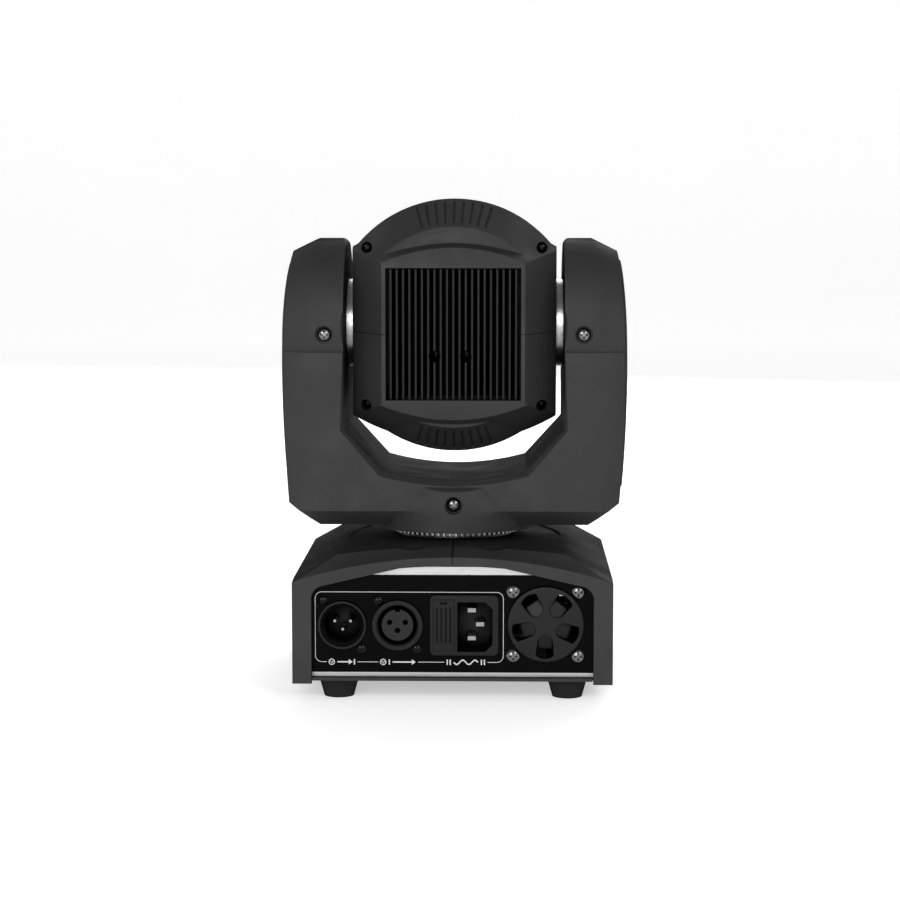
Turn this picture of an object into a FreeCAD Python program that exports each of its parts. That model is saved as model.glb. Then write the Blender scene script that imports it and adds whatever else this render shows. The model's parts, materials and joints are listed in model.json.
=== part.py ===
import FreeCAD, Part
import math
import os

# Compact moving head light. Millimetres, +Z up. The origin is the middle of the footprint, on the floor.
# The lens and the display face -Y. The sockets, the fan and the heatsink face +Y.
# The pan axis is the Z axis. The tilt axis runs along X at the height TILT_Z.

V = FreeCAD.Vector

# Base housing
BASE_HALF_X = 79.0          # outer side walls
BASE_HALF_Y = 77.5          # front and rear lips
SHOULDER_Y = 68.0           # where the roof starts to slope down to the lips
BASE_BOTTOM = 9.0
SIDE_TOP = 60.2             # top of the upright side walls
HIP = (57.0, 72.2)          # edge between the sloping hip and the arched roof
CROWN = 76.0                # highest line of the roof
LIP_CROWN = 72.2            # top of the lips
PANEL_FACE = 73.4           # face of the rear overlay panel, measured from the middle
PANEL_LEDGE = 73.5          # inner face of the lip that frames the panels
PLATE_BOTTOM = 10.5
PLATE_TOP = 12.0
SEAM = 0.12                 # half of the gap between two shell halves
CLEARANCE = 0.15            # gap round a part that drops into a hole

# Rear panel, heights and places of the connectors
SOCKET_Z = 38.0
DMX_IN_X = 54.4
DMX_OUT_X = 27.1
INLET_X = -5.8
FAN_X = -46.0
FAN_Z = 38.7
FAN_PITCH = 16.0            # half of the 32 mm hole spacing of a 40 mm fan
FAN_BORE = 18.5
SCREW_DX = 9.5              # half of the 19 x 24 mm screw spacing of a panel socket
SCREW_DZ = 12.0

# Front panel
BUTTON_X = (-24.0, -8.0, 8.0, 24.0)
BUTTON_Z = 25.0
BUTTON_R = 3.6
WINDOW = (26.0, 38.0, 55.0)  # half width, bottom and top of the display opening

# Feet and the fastening points under the base
FOOT_X = 57.0
FOOT_Y = 60.0
FOOT_TOP_R = 10.4
FOOT_TIP_R = 7.4
CLAMP_THREAD_R = 4.25       # M10 thread, tapping size
CLAMP_BOSS_TOP = 20.0
BRACKET_X = 45.0            # half spacings of the four bracket holes
BRACKET_Y = 20.0
BRACKET_HOLE_R = 2.6
SIDE_SCREW = (71.0, 35.0)

# Pan drive
BRIDGE_TOP = 70.0
PAN_TEETH = 72
PAN_TIP_R = 34.3
PAN_ROOT_R = 32.9
PAN_TEETH_Z = (76.4, 92.5)
HUB_R = 15.0
HUB_TOP = 102.5
PAN_BELT_Z = (86.0, 92.0)
PAN_MOTOR_X = 57.0
PAN_MOTOR_TEETH = 15
MOTOR_PULLEY_R = 6.8
MOTOR_ROOT_R = 5.9
BELT = 1.3                  # belt thickness
BELT_GAP = 0.1

# Yoke
TILT_Z = 183.4
WALL = 2.5
YOKE_BOTTOM = 80.0
YOKE_BELLY = 83.0
ARM_INNER = 55.5            # inner faces of the arms
ARM_APEX = 86.0             # widest point of the arms' outer arc
COVER_RISE = 1.5            # how far the arm covers stand proud
ARM_TOP = 227.1
ARM_HEAD_R = 43.9           # round heads of the arms, about the tilt axis
SADDLE = 106.0              # lowest point of the U opening
ARM_SCREW = (65.0, 179.5)
BOSS_SCREW_Z = 94.0
FRAME_X = (58.2, 60.2)      # upright plates of the steel frame
FRAME_Z = (93.5, 95.5)      # its bottom plate
FRAME_HALF_Y = 30.0
BEARING_SEAT_R = 21.0

# Tilt drive, on the -X arm
SHAFT_R = 8.0
TILT_BEARING_X = (60.5, 66.5)
TILT_BEARING_R = 13.0
TILT_PULLEY_X = (73.6, 80.4)
TILT_BELT_X = (74.0, 80.0)
TILT_TEETH = 60
TILT_TIP_R = 19.1
TILT_ROOT_R = 18.3
TILT_MOTOR_Z = 124.0
TILT_MOTOR_TEETH = 16
TILT_MOTOR_R = 5.1
TILT_MOTOR_ROOT_R = 4.4

# Head
HEAD_R = 63.9
HEAD_HALF_X = 51.5
HEAD_RIM = (-24.0, 26.0)    # the cylindrical band, from the bezel to the rear cone
CONE_END = (50.0, 49.5)     # radius and depth where the rear cone stops
STEP_END = (46.0, 50.5)     # radius and depth of the step round the rear plate
BLOCK_Z = TILT_Z - 3.0      # the rear block and its heatsink sit a little below the tilt axis
REAR_Y = 58.0
REAR_HALF_X = 35.5          # half width of the flat rear plate
FACET_Y = 29.5              # depth where the side facets start
PLATE_LEAN = 18.0           # how far the strips above and below the vent lean back, in degrees
LEAN_Z = 33.2               # where those strips start
LEAN_REACH = 14.0
VENT = (33.5, 32.7)         # half width and half height of the heatsink opening
FIN_COUNT = 21
FIN_PITCH = 3.1
FIN_THICK = 1.0
FIN_END = 56.5
FIN_HALF_Z = 32.2
SINK_Y = (30.0, 34.0)
SINK_SCREWS = (9.3, -6.2)
SINK_SCREW_DZ = -11.0
CORNER_SCREW = (44.0, 39.4)
BEZEL_FRONT = -58.0
BARREL_R = 28.4
KNURL_R = 31.3              # circle of the grip's knurls
GOBO_DROP = 24.0            # the gobo wheel's axle below the beam
GOBO_HOLES = 8

NORMAL = {"xy": V(0, 0, 1), "xz": V(0, 1, 0), "yz": V(1, 0, 0)}
BIG = 400.0


# ---------------------------------------------------------------- drawing helpers

def lift(plane, level, a, b):
    """The point (a, b) of a flat drawing, placed in its plane."""
    places = {"xy": (a, b, level), "xz": (a, level, b), "yz": (level, a, b)}
    return V(*places[plane])


def outline(plane, level, start, *steps):
    """Closed wire. A step is a point, or an arc given as (point on the way, end point)."""
    edges = []
    here = start
    for step in steps + (start,):
        if isinstance(step[0], tuple):
            way, there = step
            arc = Part.Arc(lift(plane, level, *here), lift(plane, level, *way), lift(plane, level, *there))
            edges.append(arc.toShape())
        else:
            there = step
            if math.dist(here, there) > 1e-6:
                line = Part.LineSegment(lift(plane, level, *here), lift(plane, level, *there))
                edges.append(line.toShape())
        here = there
    return Part.Wire(edges)


def extrude(plane, wire, depth):
    """Solid that carries a flat wire along its plane's normal."""
    return Part.Face(wire).extrude(NORMAL[plane] * depth)


def prism(plane, low, high, start, *steps):
    """Solid with one outline all the way from low to high."""
    return extrude(plane, outline(plane, low, start, *steps), high - low)


def ruled(first, second):
    """Solid with straight lines from one closed wire to another."""
    return Part.makeLoft([first, second], True, True)


def box(x0, x1, y0, y1, z0, z1):
    return Part.makeBox(x1 - x0, y1 - y0, z1 - z0, V(x0, y0, z0))


def rod(plane, radius, low, high, a=0.0, b=0.0):
    """Round bar square to the plane, from low to high, centred on (a, b)."""
    return Part.makeCylinder(radius, high - low, lift(plane, low, a, b), NORMAL[plane])


def tube(plane, outer, inner, low, high, a=0.0, b=0.0):
    return rod(plane, outer, low, high, a, b).cut(rod(plane, inner, low - 1, high + 1, a, b))


def cone(plane, low_r, high_r, low, high, a=0.0, b=0.0):
    return Part.makeCone(low_r, high_r, high - low, lift(plane, low, a, b), NORMAL[plane])


def rounded(plane, low, high, a0, a1, b0, b1, radius):
    """Plate with four rounded corners."""
    k = radius * (1 - math.sqrt(0.5))
    return prism(plane, low, high,
                 (a0 + radius, b0), (a1 - radius, b0),
                 ((a1 - k, b0 + k), (a1, b0 + radius)), (a1, b1 - radius),
                 ((a1 - k, b1 - k), (a1 - radius, b1)), (a0 + radius, b1),
                 ((a0 + k, b1 - k), (a0, b1 - radius)), (a0, b0 + radius),
                 ((a0 + k, b0 + k), (a0 + radius, b0)))


def turned(profile):
    """Solid of revolution about the beam axis. The profile lists (radius, y) corners."""
    wire = outline("yz", 0.0, *[(y, TILT_Z + r) for r, y in profile])
    return Part.Face(wire).revolve(V(0, 0, TILT_Z), V(0, 1, 0), 360)


def join(first, *others):
    return first.multiFuse(list(others)).removeSplitter() if others else first


def cut(shape, *tools):
    return shape.cut(Part.makeCompound(list(tools)))


def group(*solids):
    return Part.makeCompound(list(solids))


def mirrored(shape, normal=V(1, 0, 0)):
    return shape.mirror(V(0, 0, 0), normal)


def both_sides(shape):
    """The shape and its mirror image across the middle plane x = 0."""
    return [shape, mirrored(shape)]


def corners(a, b):
    return [(i * a, j * b) for i in (-1, 1) for j in (-1, 1)]


def upper_half(z=0.0):
    return box(-BIG, BIG, -BIG, BIG, z + SEAM, BIG)


def lower_half(z=0.0):
    return box(-BIG, BIG, -BIG, BIG, -BIG, z - SEAM)


def screw(place, direction, head_r, head_h, shank_r, length):
    """Pan head screw with a cross recess. The head stands on place, the shank goes the other way."""
    head = Part.Face(outline("xz", 0.0, (0, 0), (head_r, 0), (head_r, 0.35 * head_h),
                             ((0.62 * head_r, 0.85 * head_h), (0, head_h))))
    head = head.revolve(V(0, 0, 0), V(0, 0, 1), 360)
    shank = Part.makeCylinder(shank_r, length, V(0, 0, -length))
    arm, half, deep = 0.58 * head_r, 0.13 * head_r, 0.45 * head_h
    slots = [box(-arm, arm, -half, half, deep, head_h + 1), box(-half, half, -arm, arm, deep, head_h + 1)]
    shape = cut(head.fuse(shank).removeSplitter(), *slots)
    shape.Placement = FreeCAD.Placement(V(*place), FreeCAD.Rotation(V(0, 0, 1), V(*direction)))
    return shape


def toothed(plane, teeth, tip_r, root_r, low, high, a, b):
    """Toothed belt pulley blank with straight-sided teeth."""
    pitch = 2 * math.pi / teeth
    points = []
    for k in range(teeth):
        for radius, shift in ((root_r, -0.42), (root_r, 0.0), (tip_r, 0.1), (tip_r, 0.46)):
            angle = (k + shift) * pitch
            points.append((a + radius * math.cos(angle), b + radius * math.sin(angle)))
    return prism(plane, low, high, *points)


def belt(plane, low, high, near, near_r, far, far_r):
    """Closed belt round two pulleys."""
    dx, dy = far[0] - near[0], far[1] - near[1]
    heading = math.atan2(dy, dx)
    spread = math.acos((near_r - far_r) / math.hypot(dx, dy))

    def loop(grow):
        def at(centre, radius, angle):
            r = radius + grow
            return centre[0] + r * math.cos(angle), centre[1] + r * math.sin(angle)
        left, right = heading + spread, heading - spread
        return outline(plane, low, at(near, near_r, left),
                       (at(near, near_r, heading + math.pi), at(near, near_r, right)),
                       at(far, far_r, right), (at(far, far_r, heading), at(far, far_r, left)))

    depth = high - low
    return extrude(plane, loop(BELT_GAP + BELT), depth).cut(extrude(plane, loop(BELT_GAP), depth))


# ---------------------------------------------------------------- base housing

def arch(level, bottom, side, hip, crown):
    """Cross-section of the base: upright sides, sloping hips and a gently arched roof."""
    (sx, sz), (hx, hz) = side, hip
    return outline("xz", level, (-sx, bottom), (sx, bottom), (sx, sz), (hx, hz),
                   ((0, crown), (-hx, hz)), (-sx, sz))


def base_outer():
    """Outside of the base, with the roof sloping down to the front and rear lips."""
    side = (BASE_HALF_X, SIDE_TOP)
    body = extrude("xz", arch(-SHOULDER_Y, BASE_BOTTOM, side, HIP, CROWN), 2 * SHOULDER_Y)
    ends = []
    for sign in (-1, 1):
        shoulder = arch(sign * SHOULDER_Y, BASE_BOTTOM, side, HIP, CROWN)
        lip = arch(sign * BASE_HALF_Y, BASE_BOTTOM, (BASE_HALF_X, SIDE_TOP - 1.0), (76.5, 60.6), LIP_CROWN)
        ends.append(ruled(shoulder, lip))
    return join(body, *ends)


def panel_outline(level, bottom, half, side_z, hip, crown, flat):
    """Outline of a front or rear panel under the arched roof. Flat is its half width along the top."""
    return outline("xz", level, (-half, bottom), (half, bottom), (half, side_z), hip,
                   (flat, crown), (-flat, crown), (-hip[0], hip[1]), (-half, side_z))


def lip_opening(low, high):
    """Opening in a lip: upright sides, rounded shoulders, slopes and a slightly arched top."""
    return prism("xz", low, high, (-69.5, BASE_BOTTOM - 5), (69.5, BASE_BOTTOM - 5), (69.5, 52.0),
                 ((67.9, 55.6), (64.0, 57.9)), (26, 66.7), ((0, 67.9), (-26, 66.7)), (-64.0, 57.9),
                 ((-67.9, 55.6), (-69.5, 52.0)))


def side_boss(x, y):
    """Screw boss on a side wall, with a rib to the wall."""
    wall = math.copysign(BASE_HALF_X - WALL + 0.5, x)
    rib = box(min(x, wall), max(x, wall), y - 1.5, y + 1.5, PLATE_TOP, 26)
    post = rod("xy", 4.0, PLATE_TOP, 26, x, y)
    return cut(join(post, rib), rod("xy", 1.45, PLATE_TOP - 1, 24, x, y))


def base_shell():
    """Both halves of the base shell in one piece, before the split."""
    hollow = extrude("xz", arch(-66, BASE_BOTTOM - 5, (76.5, 58.4), (56, 69.5), 73.4), 132)
    tools = [hollow]
    for sign in (-1, 1):
        near, far = sorted((sign * 65, sign * PANEL_LEDGE))
        pocket = arch(near, BASE_BOTTOM - 5, (73, 59), (56, 64.2), 69.5)
        tools.append(extrude("xz", pocket, far - near))
        near, far = sorted((sign * (PANEL_LEDGE - 1), sign * (BASE_HALF_Y + 1)))
        tools.append(lip_opening(near, far))
    shell = base_outer()
    for tool in tools:
        shell = shell.cut(tool)
    dish = rod("xy", 55, 60, CROWN + 5)
    above = extrude("xz", arch(-60, 0, (BASE_HALF_X, SIDE_TOP), (57, 71.4), CROWN - 0.8), 120)
    shell = shell.cut(dish.cut(above)).cut(rod("xy", 31, 60, CROWN + 5))
    for x in (-20.5, 20.5):
        for y in (-68, 68):
            dimple = Part.makeSphere(30, V(x, y, CROWN + 28.6))
            shell = shell.cut(dimple)
    bosses = [side_boss(x, y) for x, y in corners(*SIDE_SCREW)]
    return join(shell, *bosses)


def groove_section(level, top):
    """Section of the V-groove that runs along the roof seam."""
    return outline("xz", level, (-0.62, top + 0.1), (0.62, top + 0.1), (0, top - 0.55))


def seam_groove():
    """Cutters for the V-groove: along the roof, along the dish and down both slopes."""
    cutters = [extrude("xz", groove_section(-SHOULDER_Y, CROWN), 2 * SHOULDER_Y),
               extrude("xz", groove_section(-54, CROWN - 0.8), 108)]
    for sign in (-1, 1):
        cutters.append(ruled(groove_section(sign * SHOULDER_Y, CROWN),
                             groove_section(sign * (BASE_HALF_Y + 0.01), LIP_CROWN)))
    return cutters


def base_half(sign):
    low, high = sorted((sign * SEAM, sign * BIG))
    half = base_shell().common(box(low, high, -BIG, BIG, -BIG, BIG))
    for cutter in seam_groove():
        half = half.cut(cutter)
    return half


def base_plate():
    """Folded steel floor, with the clamp thread in a pressed-in nut."""
    plate = join(box(-76.2, 76.2, -65.8, 65.8, PLATE_BOTTOM, PLATE_TOP),
                 box(-72.7, 72.7, -73.3, 73.3, PLATE_BOTTOM, PLATE_TOP),
                 box(-69.2, 69.2, -77.0, 77.0, PLATE_BOTTOM, PLATE_TOP),
                 rod("xy", 9.0, PLATE_BOTTOM, CLAMP_BOSS_TOP))
    holes = [rod("xy", CLAMP_THREAD_R, 0, 30)]
    holes += [rod("xy", BRACKET_HOLE_R, 0, 30, x, y) for x, y in corners(BRACKET_X, BRACKET_Y)]
    holes += [rod("xy", 1.7, 0, 30, x, y) for x, y in corners(*SIDE_SCREW)]
    holes += [rod("xy", 1.65, 0, 30, x, y) for x, y in corners(FOOT_X, FOOT_Y)]
    for x in (-62, 62):
        for k in range(6):
            y = 7.2 * (k - 2.5)
            holes.append(rounded("xy", 0, 30, x - 6, x + 6, y - 1.2, y + 1.2, 1.1))
    return cut(plate, *holes)


def rubber_feet():
    feet = []
    for x, y in corners(FOOT_X, FOOT_Y):
        foot = cone("xy", FOOT_TIP_R, FOOT_TOP_R, 0, PLATE_BOTTOM, x, y)
        foot = cut(foot, rod("xy", 4.0, -1, 5, x, y), rod("xy", 1.7, -1, 20, x, y))
        feet.append(foot)
    return group(*feet)


def base_screws():
    """Screws that hold the feet, and screws from the plate up into the shell bosses."""
    feet = [screw((x, y, 5.0), (0, 0, -1), 3.4, 2.0, 1.6, 11) for x, y in corners(FOOT_X, FOOT_Y)]
    sides = [screw((x, y, PLATE_BOTTOM), (0, 0, -1), 3.2, 1.4, 1.4, 11) for x, y in corners(*SIDE_SCREW)]
    return group(*feet, *sides)


def chassis_bridge():
    """Steel bridge that carries the pan pulley above the circuit boards."""
    top = box(-50, 50, -28, 28, BRIDGE_TOP - 2, BRIDGE_TOP)
    legs = both_sides(box(48, 50, -28, 28, PLATE_TOP, BRIDGE_TOP - 1))
    flanges = both_sides(box(49, 58, -28, 28, PLATE_TOP, PLATE_TOP + 2))
    keep = rod("xy", 12, 50, 90)
    bolts = [rod("xy", BRACKET_HOLE_R + 0.6, 0, 30, x, y) for x, y in corners(53.5, 22)]
    lightening = [rounded("yz", -60, 60, -18, 18, 26, 56, 4)]
    return cut(join(top, *legs, *flanges), keep, *bolts, *lightening)


# ---------------------------------------------------------------- rear panel

def socket_screw_places():
    """Each panel socket has its screws at the upper and lower corners of one diagonal."""
    places = []
    for x in (DMX_IN_X, DMX_OUT_X):
        places += [(x + SCREW_DX, SOCKET_Z + SCREW_DZ), (x - SCREW_DX, SOCKET_Z - SCREW_DZ)]
    return places


def fan_screw_places():
    return [(FAN_X + dx, FAN_Z + dz) for dx, dz in corners(FAN_PITCH, FAN_PITCH)]


def inlet_body(low, high, grow=0.0):
    """Rectangular body of the mains inlet behind its flange."""
    return box(INLET_X - 15.2 - grow, INLET_X + 15.9 + grow, low, high,
               SOCKET_Z - 13.9 - grow, SOCKET_Z + 13.9 + grow)


def rear_holes():
    """Everything that passes through the chassis plate and the overlay."""
    holes = [rod("xz", 11.9 + CLEARANCE, 60, 80, DMX_IN_X, SOCKET_Z),
             rod("xz", 12.4 + CLEARANCE, 60, 80, DMX_OUT_X, SOCKET_Z),
             inlet_body(60, 80, CLEARANCE),
             rod("xz", FAN_BORE, 60, 80, FAN_X, FAN_Z)]
    holes += [rod("xz", 1.65, 60, 80, x, z) for x, z in socket_screw_places()]
    holes += [rod("xz", 2.0, 60, 80, x, z) for x, z in fan_screw_places()]
    return holes


def rear_chassis_plate():
    """Bare metal plate that closes the rear of the base."""
    plate = panel_outline(71.5, PLATE_TOP, 72.5, 58.5, (56, 63.7), 66.9, 30)
    return cut(extrude("xz", plate, 1.2), *rear_holes())


def rear_overlay_panel():
    """Black plastic overlay, a little lower than the plate, so that bright metal shows above and below."""
    panel = panel_outline(72.7, 14.2, 71, 57.5, (56, 61.9), 62.9, 40)
    return cut(extrude("xz", panel, PANEL_FACE - 72.7), *rear_holes())


def dmx_in_socket():
    """Male panel socket: a round barrel with a funnel mouth, and its flange behind the panel."""
    x, z = DMX_IN_X, SOCKET_Z
    flange = rounded("xz", 69.4, 71.4, x - 12.6, x + 12.6, z - 15, z + 15, 2)
    flange = cut(flange, *[rod("xz", 1.65, 60, 80, a, b) for a, b in socket_screw_places()])
    body = join(rod("xz", 11.9, 52, 76, x, z), flange)
    bore = rod("xz", 9.2, 58, 80, x, z)
    funnel = cone("xz", 9.2, 10.9, 72.5, 76.01, x, z)
    pins = [rod("xz", 1.2, 50, 80, x + dx, z + dz) for dx, dz in contact_places()]
    return cut(body, bore, funnel, *pins)


def contact_places():
    """The three contacts of a panel socket, about its middle."""
    return [(-3.9, 1.4), (3.9, 1.4), (0.0, -2.7)]


def dmx_in_pins():
    pins = []
    for dx, dz in contact_places():
        x, z = DMX_IN_X + dx, SOCKET_Z + dz
        pin = rod("xz", 1.2, 48, 70.5, x, z)
        tip = cone("xz", 1.2, 0.7, 70.5, 71.5, x, z)
        pins.append(join(pin, tip))
    return group(*pins)


def dmx_out_socket():
    """Female panel socket: barrel and flange. The insert is a part of its own."""
    x, z = DMX_OUT_X, SOCKET_Z
    flange = rounded("xz", 69.4, 71.4, x - 12.6, x + 12.6, z - 15, z + 15, 2)
    flange = cut(flange, *[rod("xz", 1.65, 60, 80, a, b) for a, b in socket_screw_places()])
    body = join(rod("xz", 12.4, 52, 76, x, z), flange)
    mouth = cone("xz", 9.6, 10.4, 75, 76.01, x, z)
    return cut(body, rod("xz", 9.6, 57, 80, x, z), mouth)


def dmx_out_insert():
    """Contact block of the female socket, with three contact holes."""
    x, z = DMX_OUT_X, SOCKET_Z
    block = rod("xz", 7.8, 57, 74.6, x, z)
    holes = [rod("xz", 1.35, 62, 80, x + dx, z + dz) for dx, dz in contact_places()]
    key = box(x - 1.2, x + 1.2, 57, 80, z + 6.6, z + 9)
    return cut(block, key, *holes)


def socket_screws():
    return group(*[screw((x, PANEL_FACE, z), (0, 1, 0), 2.5, 1.5, 1.5, 8) for x, z in socket_screw_places()])


def inlet_opening(low, high):
    """Socket opening for the mains connector, with its two cut corners towards -X."""
    left, right, top, bottom, bevel = INLET_X - 14.0, INLET_X + 3.4, 49.6, 24.8, 3.6
    return prism("xz", low, high, (right, bottom), (right, top), (left + bevel, top),
                 (left, top - bevel), (left, bottom + bevel), (left + bevel, bottom))


def drawer_slot(grow):
    """Bounds of the fuse drawer's slot along X and Z, grown on every side."""
    left, right, half = INLET_X + 5.0, INLET_X + 15.2, 12.7
    return left - grow, right + grow, SOCKET_Z - half - grow, SOCKET_Z + half + grow


def power_inlet():
    """Mains inlet with a socket opening and a slot for the fuse drawer."""
    x, z = INLET_X, SOCKET_Z
    flange = rounded("xz", PANEL_FACE, 75.2, x - 16.8, x + 16.8, z - 14.95, z + 14.95, 2.5)
    body = join(flange, inlet_body(52, PANEL_FACE + 0.5))
    x0, x1, z0, z1 = drawer_slot(0.1)
    slot = box(x0, x1, 54, 80, z0, z1)
    blades = [box(a0, a1, 50, 80, b0, b1) for a0, a1, b0, b1 in blade_sections()]
    return cut(body, inlet_opening(59, 80), slot, *blades)


def blade_sections():
    """Sections of the live, neutral and earth blades."""
    pair, earth = INLET_X - 3.7, INLET_X - 7.8
    middles = [(pair, SOCKET_Z + 7), (pair, SOCKET_Z - 7), (earth, SOCKET_Z)]
    return [(a - 2.0, a + 2.0, b - 1.0, b + 1.0) for a, b in middles]


def power_inlet_blades():
    return group(*[box(a0, a1, 50, 71.5, b0, b1) for a0, a1, b0, b1 in blade_sections()])


def fuse_drawer():
    """Pull-out holder for the mains fuse, with a ribbed face."""
    x0, x1, z0, z1 = drawer_slot(0.0)
    tray = box(x0, x1, 54.3, 75.4, z0, z1)
    pocket = box(x0 + 2.3, x1 + 1, 57.3, 62.7, SOCKET_Z - 10.1, SOCKET_Z + 10.1)
    grooves = [box(x0 + 1.5 + 2.2 * k, x0 + 2.1 + 2.2 * k, 74.9, 76, z0 + 4, z1 - 4) for k in range(4)]
    nail = box(x0 + 3.5, x1 - 3.5, 74.6, 76, z1 - 2.2, z1 - 1.0)
    return cut(tray, pocket, nail, *grooves)


def fuse():
    """Cartridge fuse, 5 x 20 mm."""
    return rod("xy", 2.5, SOCKET_Z - 10, SOCKET_Z + 10, INLET_X + 10.1, 60)


def grille_slot(angle):
    """Slot of the fan grille: narrow and round near the middle, wider at the rim."""
    tip, end, tip_r, end_half, low, high = 9.2, 17.0, 3.9, 4.5, 73, 77
    slot = prism("xz", low, high, (tip, -tip_r), (end - 1.6, -end_half),
                 ((end, 0), (end - 1.6, end_half)), (tip, tip_r), ((tip - tip_r, 0), (tip, -tip_r)))
    slot.rotate(V(0, 0, 0), V(0, 1, 0), angle)
    slot.translate(V(FAN_X, 0, FAN_Z))
    return slot


def fan_grille():
    """Round finger guard with five slots and a ramp behind each slot."""
    disc = rod("xz", 18.9, PANEL_FACE, 75.9, FAN_X, FAN_Z)
    disc = cut(disc, *[grille_slot(180 + 52 + 72 * k) for k in range(5)])
    rim = [e for e in disc.Edges if e.BoundBox.YMin > 75.8 and abs(e.BoundBox.XLength - 37.8) < 0.1]
    disc = disc.makeFillet(0.8, rim) if rim else disc
    ramps = []
    for k in range(5):
        ramp = prism("xy", -3.6, 3.6, (4.0, PANEL_FACE), (12.5, PANEL_FACE), (5.0, 75.3), (4.0, 75.3))
        ramp.rotate(V(0, 0, 0), V(0, 1, 0), 180 + 52 + 72 * k)
        ramp.translate(V(FAN_X, 0, FAN_Z))
        ramps.append(ramp)
    return join(disc, *ramps)


def fan_frame():
    """40 mm fan frame with a round duct and a motor spider."""
    half = 20.0
    frame = rounded("xz", 61, 71.4, FAN_X - half, FAN_X + half, FAN_Z - half, FAN_Z + half, 2.5)
    duct = rod("xz", FAN_BORE, 60, 72, FAN_X, FAN_Z)
    holes = [rod("xz", 1.7, 60, 72, x, z) for x, z in fan_screw_places()]
    motor = rod("xz", 9.5, 61, 62.4, FAN_X, FAN_Z)
    spokes = []
    for k in range(4):
        spoke = box(8.5, 19.5, 61, 62.4, -1.2, 1.2)
        spoke.rotate(V(0, 0, 0), V(0, 1, 0), 45 + 90 * k)
        spoke.translate(V(FAN_X, 0, FAN_Z))
        spokes.append(spoke)
    pivot = rod("xz", 1.0, 62, 68, FAN_X, FAN_Z)
    return join(cut(frame, duct, *holes), motor, pivot, *spokes)


def fan_screws():
    return group(*[screw((x, PANEL_FACE, z), (0, 1, 0), 3.55, 2.2, 1.6, 10) for x, z in fan_screw_places()])


def fan_impeller():
    """Seven pitched blades on a hub."""
    hub = rod("xz", 9.0, 63, 70.8)
    blades = []
    for k in range(7):
        blade = prism("yz", 8.0, 17.6, (63.6, -3.4), (64.8, -3.4), (70.4, 3.4), (69.2, 3.4))
        blade.rotate(V(0, 0, 0), V(0, 1, 0), 360 / 7 * k)
        blades.append(blade)
    wheel = cut(join(hub, *blades), rod("xz", 1.08, 62, 68.2))
    wheel = wheel.common(rod("xz", 17.4, 60, 72))
    wheel.translate(V(FAN_X, 0, FAN_Z))
    return wheel


# ---------------------------------------------------------------- front panel

def window_opening(low, high, grow):
    half, bottom, top = WINDOW
    return rounded("xz", low, high, -half - grow, half + grow, bottom - grow, top + grow, 1.5)


def front_panel():
    """Black control panel with the display opening and four button holes."""
    plate = panel_outline(-PANEL_FACE, PLATE_TOP, 72.5, 58.5, (56, 63.7), 67.6, 30)
    holes = [rod("xz", BUTTON_R + CLEARANCE, -80, -60, x, BUTTON_Z) for x in BUTTON_X]
    vents = []
    for k in range(5):
        vents += both_sides(rounded("xz", -80, -60, 44, 66, 22 + 6 * k, 24 + 6 * k, 0.9))
    return cut(extrude("xz", plate, 1.6), window_opening(-80, -60, 0), *holes, *vents)


def display_window():
    """Tinted window of the display."""
    return window_opening(-74.0, -71.6, -CLEARANCE)


def display_board():
    """Circuit board behind the front panel, with the display module and four key switches."""
    board = box(-40, 40, -66, -64.4, 16, 62)
    module = box(-25, 25, -71.2, -65.5, 39.5, 53.5)
    keys = [box(x - 3, x + 3, -68.0, -65.5, BUTTON_Z - 3, BUTTON_Z + 3) for x in BUTTON_X]
    return join(board, module, *keys)


def button(x):
    """Push button with a flange behind the panel that keeps it in."""
    cap = rod("xz", BUTTON_R, -75.4, -70.5, x, BUTTON_Z)
    rim = [e for e in cap.Edges if e.BoundBox.YMax < -75.3]
    cap = cap.makeFillet(0.6, rim)
    flange = rod("xz", BUTTON_R + 0.9, -71.4, -69.4, x, BUTTON_Z)
    return join(cap, flange)


# ---------------------------------------------------------------- electronics in the base

def power_supply_board():
    board = box(-44, 44, -26, 26, 23, 24.6)
    return cut(board, *[rod("xy", 1.6, 20, 30, x, y) for x, y in corners(40, 22)])


def power_supply_parts():
    """Spacers under the board; transformer, capacitors, choke and transistor heatsinks on it."""
    top = 24.6
    parts = [tube("xy", 3.0, 1.6, PLATE_TOP, 23, x, y) for x, y in corners(40, 22)]
    parts += [box(-14, 12, -11, 11, top, 45), box(20, 24, -18, 18, top, 44), box(-36, -33, -15, 15, top, 42)]
    parts += [rod("xy", 6.0, top, 44, 33, -12), rod("xy", 6.0, top, 44, 33, 4)]
    parts += [rod("xy", 4.0, top, 38, -24, y) for y in (-12, 0, 12)]
    return group(*parts)


def control_board():
    """Processor board hung from the bridge on four spacers, with chips and plug headers."""
    board = box(-42, 42, -24, 24, 52, 53.6)
    chips = [box(-8, 8, -8, 8, 53, 55.4), box(14, 24, -5, 5, 53, 55), box(-26, -18, -12, 12, 53, 55)]
    headers = [box(x, x + 10, -23, -17, 53, 60) for x in (-34, -16, 2, 20)]
    spacers = [rod("xy", 2.6, 53, BRIDGE_TOP - 2, x, y) for x, y in corners(38, 20)]
    return join(board, *chips, *headers, *spacers)


# ---------------------------------------------------------------- pan drive

def pan_pulley():
    """Fixed toothed pulley of the pan drive, with the hollow pivot that the yoke turns on."""
    low, high = PAN_TEETH_Z
    ring = toothed("xy", PAN_TEETH, PAN_TIP_R, PAN_ROOT_R, low, high, 0, 0)
    neck = rod("xy", 30, BRIDGE_TOP, low + 1)
    pivot = rod("xy", HUB_R, low, HUB_TOP)
    pockets = []
    for k in range(6):
        angle = math.radians(60 * k)
        pockets.append(rod("xy", 5.0, 80, 110, 23.5 * math.cos(angle), 23.5 * math.sin(angle)))
    return cut(join(ring, neck, pivot), rod("xy", 12, 60, 110), *pockets)


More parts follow.
